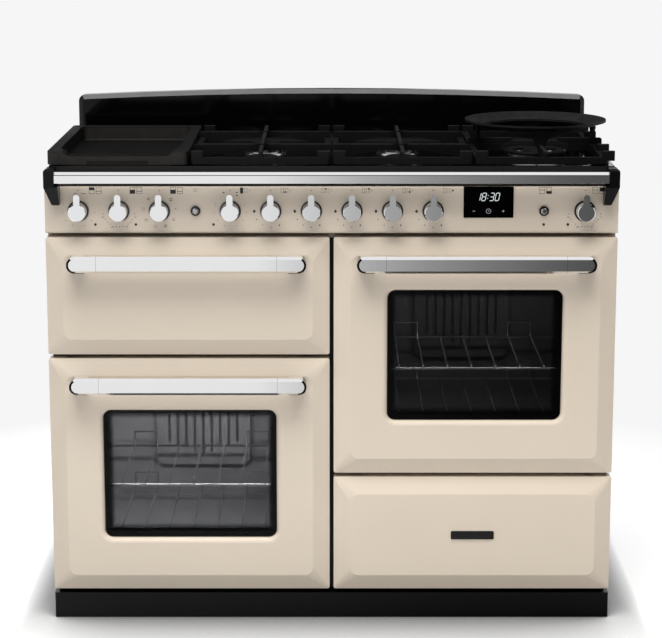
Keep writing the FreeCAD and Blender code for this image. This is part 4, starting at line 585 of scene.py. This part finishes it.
def hob_picture(marks, lines, x, spot):
    """The hob from above: the griddle's plate, four burners and the wok burner, with one of them filled."""
    if spot == "hotplate":
        marks.block(x - 6.0, ICON_Z, 5.7, 11.4)
    else:
        lines.frame(x - 6.0, ICON_Z, 5.2, 9.6, 0.6)
    places = {"front_left": (-0.4, -2.9), "rear_left": (-0.4, 2.9), "rear_right": (4.4, 2.9),
              "front_right": (4.4, -2.9), "wok": (9.2, 0)}
    for name, (dx, dz) in places.items():
        if name == spot:
            marks.dot(x + dx, ICON_Z + dz, 1.9)
        else:
            lines.ring(x + dx, ICON_Z + dz, 1.25, 0.45, 12)


def mode_signs(dark, faint, x):
    """The signs of the ways of heating, round the mode knob."""
    heat = {"top": [(1.7, 0.6)], "low": [(-1.7, 0.6)], "full": [(1.4, 0.7), (-1.4, 0.7)]}
    for turn, kind in ((-42, "fan"), (45, "full"), (-83, "box"), (82, "fork"), (-125, "top"), (121, "low"),
                       (-165, "box"), (159, "cross")):
        px, pz = around(x, turn, 31.0)
        if kind not in ("fan", "fork"):
            faint.frame(px, pz, 5.4, 5.0, 0.5)
        if kind == "fan":
            dark.ring(px, pz, 2.2, 0.45, 14)
            for k in range(3):
                dark.bar(px, pz, *around(px, 120 * k, 1.9, pz), 0.7)
        if kind in ("cross", "fork"):
            dark.bar(px - 1.7, pz + 1.7, px + 1.7, pz - 1.7, 0.5)
            dark.bar(px + 1.7, pz + 1.7, px - 1.7, pz - 1.7, 0.5)
        for dz, line in heat.get(kind, ()):
            dark.block(px, pz + dz, 4.2, line)


def control_marks():
    """The scales and pictures printed round the knobs, with plain numbers only."""
    dark, faint, numbers = Marks(), Marks(), Marks()
    for i, x in enumerate(KNOB_X):
        faint.dot(x, KNOB_Z + 39.5, 1.1, 12)
        if i in (0, 3):
            for n, turn in enumerate((36, 66.5, 96, 126.5, 158)):
                for sign in (-1, 1):
                    numbers.text(str(n + 1), *around(x, sign * turn, SCALE_R), 2.8)
        if i in (1, 9):
            for turn in (101, 123, 134.5, 146, 167, 178, -101, -123, -134.5, -146, -170):
                dark.dot(*around(x, turn, SCALE_R), 0.9, 10)
            for words, turn in (("50", 111.5), ("100", 156), ("200", -157), ("250", -111.5)):
                numbers.text(words, *around(x, turn, SCALE_R + 3), 2.5)
        if i in (4, 5, 6, 7, 8):
            dark.flame(*around(x, -90, SIGN_R), 7.6)
            for turn, size in ((-121, 1.1), (-150, 1.0), (180, 1.0)):
                dark.dot(*around(x, turn, SIGN_R), size, 10)
            dark.flame(*around(x, 149.5, SIGN_R), 4.2)
    grill, oven, mode, plate = KNOB_X[:4]
    dark.block(grill - 5.2, KNOB_Z + 33.2, 5.2, 0.9)
    dark.block(grill + 5.6 + 5, KNOB_Z + 33.2, 10.4, 0.9)
    for dx, dz in ((-12.2, 35.4), (13, 35.4), (13, 29.6)):
        dark.block(plate + dx, KNOB_Z + dz, 3.2, 2.2)
    mode_signs(dark, faint, mode)
    for x, filled in ((grill + 33, (-1, "upper")), (oven + 33, (-1, "lower")), (mode + 33, (-1, "lower")),
                      (KNOB_X[9] + 25.5, (1, "upper")), (BUTTON_X[1] + 2.5, (1, "lower"))):
        oven_picture(dark, faint, x, filled)
    for k, spot in enumerate(("hotplate", "front_left", "rear_left", "rear_right", "front_right", "wok")):
        hob_picture(dark, faint, KNOB_X[3 + k] + 28, spot)
    faint.ring(BUTTON_X[0], ICON_Z + 1, 3.0, 0.6, 24)
    dark.done("panel_marks_dark", "ink")
    faint.done("panel_marks_faint", "faint")
    numbers.done("panel_numbers", "ink")


def clock_face():
    """Leaning seven-segment figures and three touch signs behind the display glass."""
    low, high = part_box("clock_display")
    face = low.y * 1000
    lit, signs = Marks(face, 0.06, 0.03), Marks(face, 0.06, 0.03)
    cx = (low.x + high.x) * 500
    tall, wide, line = 14.6, 7.0, 1.15
    base = high.z * 1000 - 12.5 - tall

    def lean(x, z):
        return x + (z - base) * 0.2, z

    def stroke(x0, z0, x1, z1):
        half = line / 2
        if z0 == z1:
            pts = [(x0, z0), (x0 + half, z0 + half), (x1 - half, z0 + half), (x1, z0), (x1 - half, z0 - half),
                   (x0 + half, z0 - half)]
        else:
            pts = [(x0, z0), (x0 + half, z0 + half), (x0 + half, z1 - half), (x0, z1), (x0 - half, z1 - half),
                   (x0 - half, z0 + half)]
        lit.area([lean(*p) for p in pts])

    gap = 0.35
    shapes = {"1": "bc", "8": "abcdefg", "3": "abcdg", "0": "abcdef"}
    for figure, at in (("1", -22.5), ("8", -12.2), ("3", 3.0), ("0", 13.2)):
        x, mid, top = cx - 1.6 + at, base + tall / 2, base + tall
        right = x + wide
        runs = {"a": (x + gap, top, right - gap, top), "g": (x + gap, mid, right - gap, mid),
                "d": (x + gap, base, right - gap, base),
                "f": (x, mid + gap, x, top - gap), "b": (right, mid + gap, right, top - gap),
                "e": (x, base + gap, x, mid - gap), "c": (right, base + gap, right, mid - gap)}
        for key in shapes[figure]:
            stroke(*runs[key])
    for dz in (4.4, 10.2):
        lit.dot(*lean(cx - 2.9, base + dz), 0.75, 10)
    row = low.z * 1000 + 12.8
    signs.block(cx - 28, row, 4.2, 1.1)
    signs.block(cx + 28, row, 4.2, 1.1)
    signs.block(cx + 28, row, 1.1, 4.2)
    signs.ring(cx, row, 4.4, 0.7)
    signs.bar(cx, row + 2.6, cx, row, 0.6)
    signs.bar(cx, row, cx + 2.0, row, 0.6)
    lit.done("clock_figures", "segment", "display_black")
    signs.done("clock_signs", "icon", "display_black")


def bezels():
    """The dished chrome ring behind each knob and the black collars of the buttons."""
    dish = [(5, 0.0), (16.8, 0.0), (17.4, -0.8), (18.3, -2.5), (19.0, -2.95), (19.9, -2.8), (20.5, -2.0),
            (20.5, 0.05)]
    collar = [(6.1, 0.05), (6.1, -3.4), (6.7, -3.95), (8.4, -4.0), (9.2, -3.5), (9.5, -2.6), (9.5, 0.05)]
    rings = bmesh.new()
    for x in KNOB_X:
        lathe(rings, dish, (x, FACE, KNOB_Z), steps=64)
    thing = piece("knob_bezels", rings, "bezel", BODY, smooth=True)
    collars = bmesh.new()
    for x in BUTTON_X:
        lathe(collars, collar, (x, FACE, KNOB_Z))
    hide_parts("control_bezels")
    piece("button_collars", collars, "collar", BODY, smooth=True)


def shelf_tips():
    """The turned-up front ends of the right oven's shelf bars, which catch the light."""
    low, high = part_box("right_oven_liner")
    middle = (low.x + high.x) * 500
    tip = [(0, 0), (1.1, 0), (1.3, 0.6), (1.3, 5.0), (0.8, 5.8), (0, 6.0)]
    tips = bmesh.new()
    for level in SHELF_Z:
        for step in range(-3, 4):
            lathe(tips, tip, (middle + step * BAR_PITCH, SHELF_Y, level), "z", 10)
    piece("shelf_tips", tips, "tip", BODY, smooth=True)


control_marks()
clock_face()
bezels()
shelf_tips()


# ---------------------------------------------------------------- stage, light and camera

def stage_plane(name, size, material, location=(0, 0, 0), rotation=(0, 0, 0), glossy_only=False):
    bm = bmesh.new()
    bmesh.ops.create_grid(bm, x_segments=1, y_segments=1, size=0.5)
    for v in bm.verts:
        v.co.x *= size[0]
        v.co.y *= size[1]
    thing = solid(name, bm, material)
    thing.location = location
    thing.rotation_euler = rotation
    if glossy_only:
        thing.visible_camera = thing.visible_diffuse = thing.visible_shadow = thing.visible_transmission = False


WHITE = (*linear(246, 246, 247), 1)


def seen(nodes):
    """1 for rays that look at the surroundings, directly, in a reflection or through glass."""
    path = nodes.add("ShaderNodeLightPath").outputs
    both = nodes.maths("MAXIMUM", path["Is Camera Ray"], path["Is Glossy Ray"])
    return nodes.maths("MAXIMUM", both, path["Is Transmission Ray"])


def floor_material():
    """Pale floor with a painted contact shadow before the cooker. It also takes the real shadows and runs into
    the background.
    """
    s = Shader("floor_white")
    # Painted shadow: an occlusion test darkens the floor near the cooker, in front of it and not beside it. This
    # darkens both the floor's colour and its glow.
    open_sky = s.add("ShaderNodeAmbientOcclusion", {"Distance": 0.3}, samples=12).outputs["AO"]
    at = s.axes()["X"]
    beside = s.span(s.maths("ABSOLUTE", at), 0.0, 1.0, 0.53, 0.62)
    painted_contact_shadow = s.ramp(s.maths("MAXIMUM", open_sky, beside), [
        (0.45, (0.12,) * 3), (0.6, (0.36,) * 3), (0.75, (0.56,) * 3), (0.9, (0.76,) * 3), (1.0, (1.0,) * 3)])
    mirrored = s.ramp(s.span(at, 0.0, 1.0, -1.0, 1.0), [
        (0.2, (0.9,) * 3), (0.45, (0.5,) * 3), (0.6, (0.2,) * 3), (0.8, (0.04,) * 3)])
    shiny = s.add("ShaderNodeLightPath").outputs["Is Glossy Ray"]
    level = s.maths("SUBTRACT", s.span(at, 0.90, 0.68, -0.75, -0.42), s.span(at, 0.0, 0.05, 0.4, 0.6))
    diffuse = s.add("ShaderNodeBsdfDiffuse", {"Color": s.mix(0.5, painted_contact_shadow, grey(0.02))})
    lift = s.add("ShaderNodeEmission", {
        "Color": s.mix(shiny, painted_contact_shadow, mirrored), "Strength": s.maths("MULTIPLY", seen(s), level)})
    near = s.add("ShaderNodeAddShader", {0: diffuse.outputs[0], 1: lift.outputs[0]})
    plain = s.add("ShaderNodeEmission", {"Color": WHITE, "Strength": 1.0})
    far = s.add("ShaderNodeVectorMath", {0: s.place()}, operation="LENGTH").outputs["Value"]
    away = s.span(far, 0.0, 1.0, 0.75, 1.5)
    s.shine(s.add("ShaderNodeMixShader", {"Fac": away, 1: near.outputs[0], 2: plain.outputs[0]}))
    return s.mat


def card(name, stops):
    """A board that only reflections see, graded along its length."""
    s = Shader(name)
    grade = s.ramp(s.span(s.axes()["X"], 0.0, 1.0, -1.0, 1.0), [((x + 1) / 2, (v, v, v)) for x, v in stops])
    s.shine(s.add("ShaderNodeEmission", {"Color": grade, "Strength": 1.0}))
    return s.mat


def make_world():
    """White to look at, and a weak cool fill for everything it lights."""
    world = bpy.data.worlds.new("studio")
    scene.world = world
    world.use_nodes = True
    w = Nodes(world.node_tree, "ShaderNodeOutputWorld")
    fill = w.add("ShaderNodeBackground", {"Color": (0.95, 0.97, 1.0, 1), "Strength": 0.06})
    back = w.add("ShaderNodeBackground", {"Color": WHITE, "Strength": 1.0})
    w.shine(w.add("ShaderNodeMixShader", {0: seen(w), 1: fill.outputs[0], 2: back.outputs[0]}))


def lamp(name, place, aim, size, power, colour=(1, 1, 1), glossy=True):
    light = bpy.data.lights.new(name, "AREA")
    light.shape = "RECTANGLE"
    light.size, light.size_y = size
    light.energy = power
    light.color = colour
    thing = bpy.data.objects.new(name, light)
    thing.location = place
    thing.rotation_euler = (Vector(aim) - Vector(place)).to_track_quat("-Z", "Y").to_euler()
    thing.visible_glossy = glossy
    thing.visible_camera = False
    scene.collection.objects.link(thing)


UPRIGHT = (math.radians(90), 0, 0)
WARM = (1.0, 0.99, 0.97)
front_grade = [(-0.28, 0.90), (-0.16, 0.88), (-0.077, 0.72), (0.069, 0.46), (0.20, 0.31), (0.327, 0.206),
               (0.475, 0.118), (0.566, 0.085), (0.9, 0.05)]
rear_grade = [(-1.0, 0.02), (1.0, 0.01)]
stage_plane("floor", (40, 40), floor_material())
stage_plane("front_card", (6, 1.5), card("front_card", front_grade), (0, -0.8, 0.755), UPRIGHT, glossy_only=True)
stage_plane("rear_card", (2.6, 1.2), card("rear_card", rear_grade), (0, 0.4, 1.6), UPRIGHT, glossy_only=True)
make_world()
lamp("key", (-1.8, -5.0, 6.6), (0, -0.3, 0.4), (2.4, 2.4), 95, WARM, glossy=False)
lamp("high", (-0.2, -1.6, 4.2), (0, -0.3, 0.3), (3.0, 1.6), 170, WARM, glossy=False)
lamp("near", (0.05, -0.95, 0.12), (0.05, -0.28, 0.16), (2.0, 0.12), 2.8, glossy=False)
lamp("back", (0.6, 4.5, 3.0), (0, 0.3, 0.5), (2.0, 2.0), 120, glossy=False)
lamp("top", (0, 0.3, 3.2), (0, 0, 0.5), (1.6, 1.0), 14, glossy=False)
lamp("glint", (0.1, 1.1, 2.3), (0, 0, 0.9), (1.6, 0.05), 2.5)
lamp("left_oven", (-DOOR_X, -0.2, 0.46), (-DOOR_X, 0.05, 0.25), (0.36, 0.04), 2.0)
lamp("right_oven", (DOOR_X, -0.2, 0.695), (DOOR_X, 0.05, 0.50), (0.36, 0.04), 1.4)

camera = bpy.data.objects.new("camera", bpy.data.cameras.new("camera"))
scene.collection.objects.link(camera)
camera.data.sensor_width = SENSOR
camera.data.lens = FOCAL / PHOTO_WIDE * SENSOR
camera.data.shift_x = -0.6 / PHOTO_WIDE
camera.data.clip_end = 100
camera.location = (0, -4.32394, 1.43428)
camera.rotation_euler = (math.radians(90 - PITCH), 0, 0)
scene.camera = camera
scene.view_settings.view_transform = "Standard"
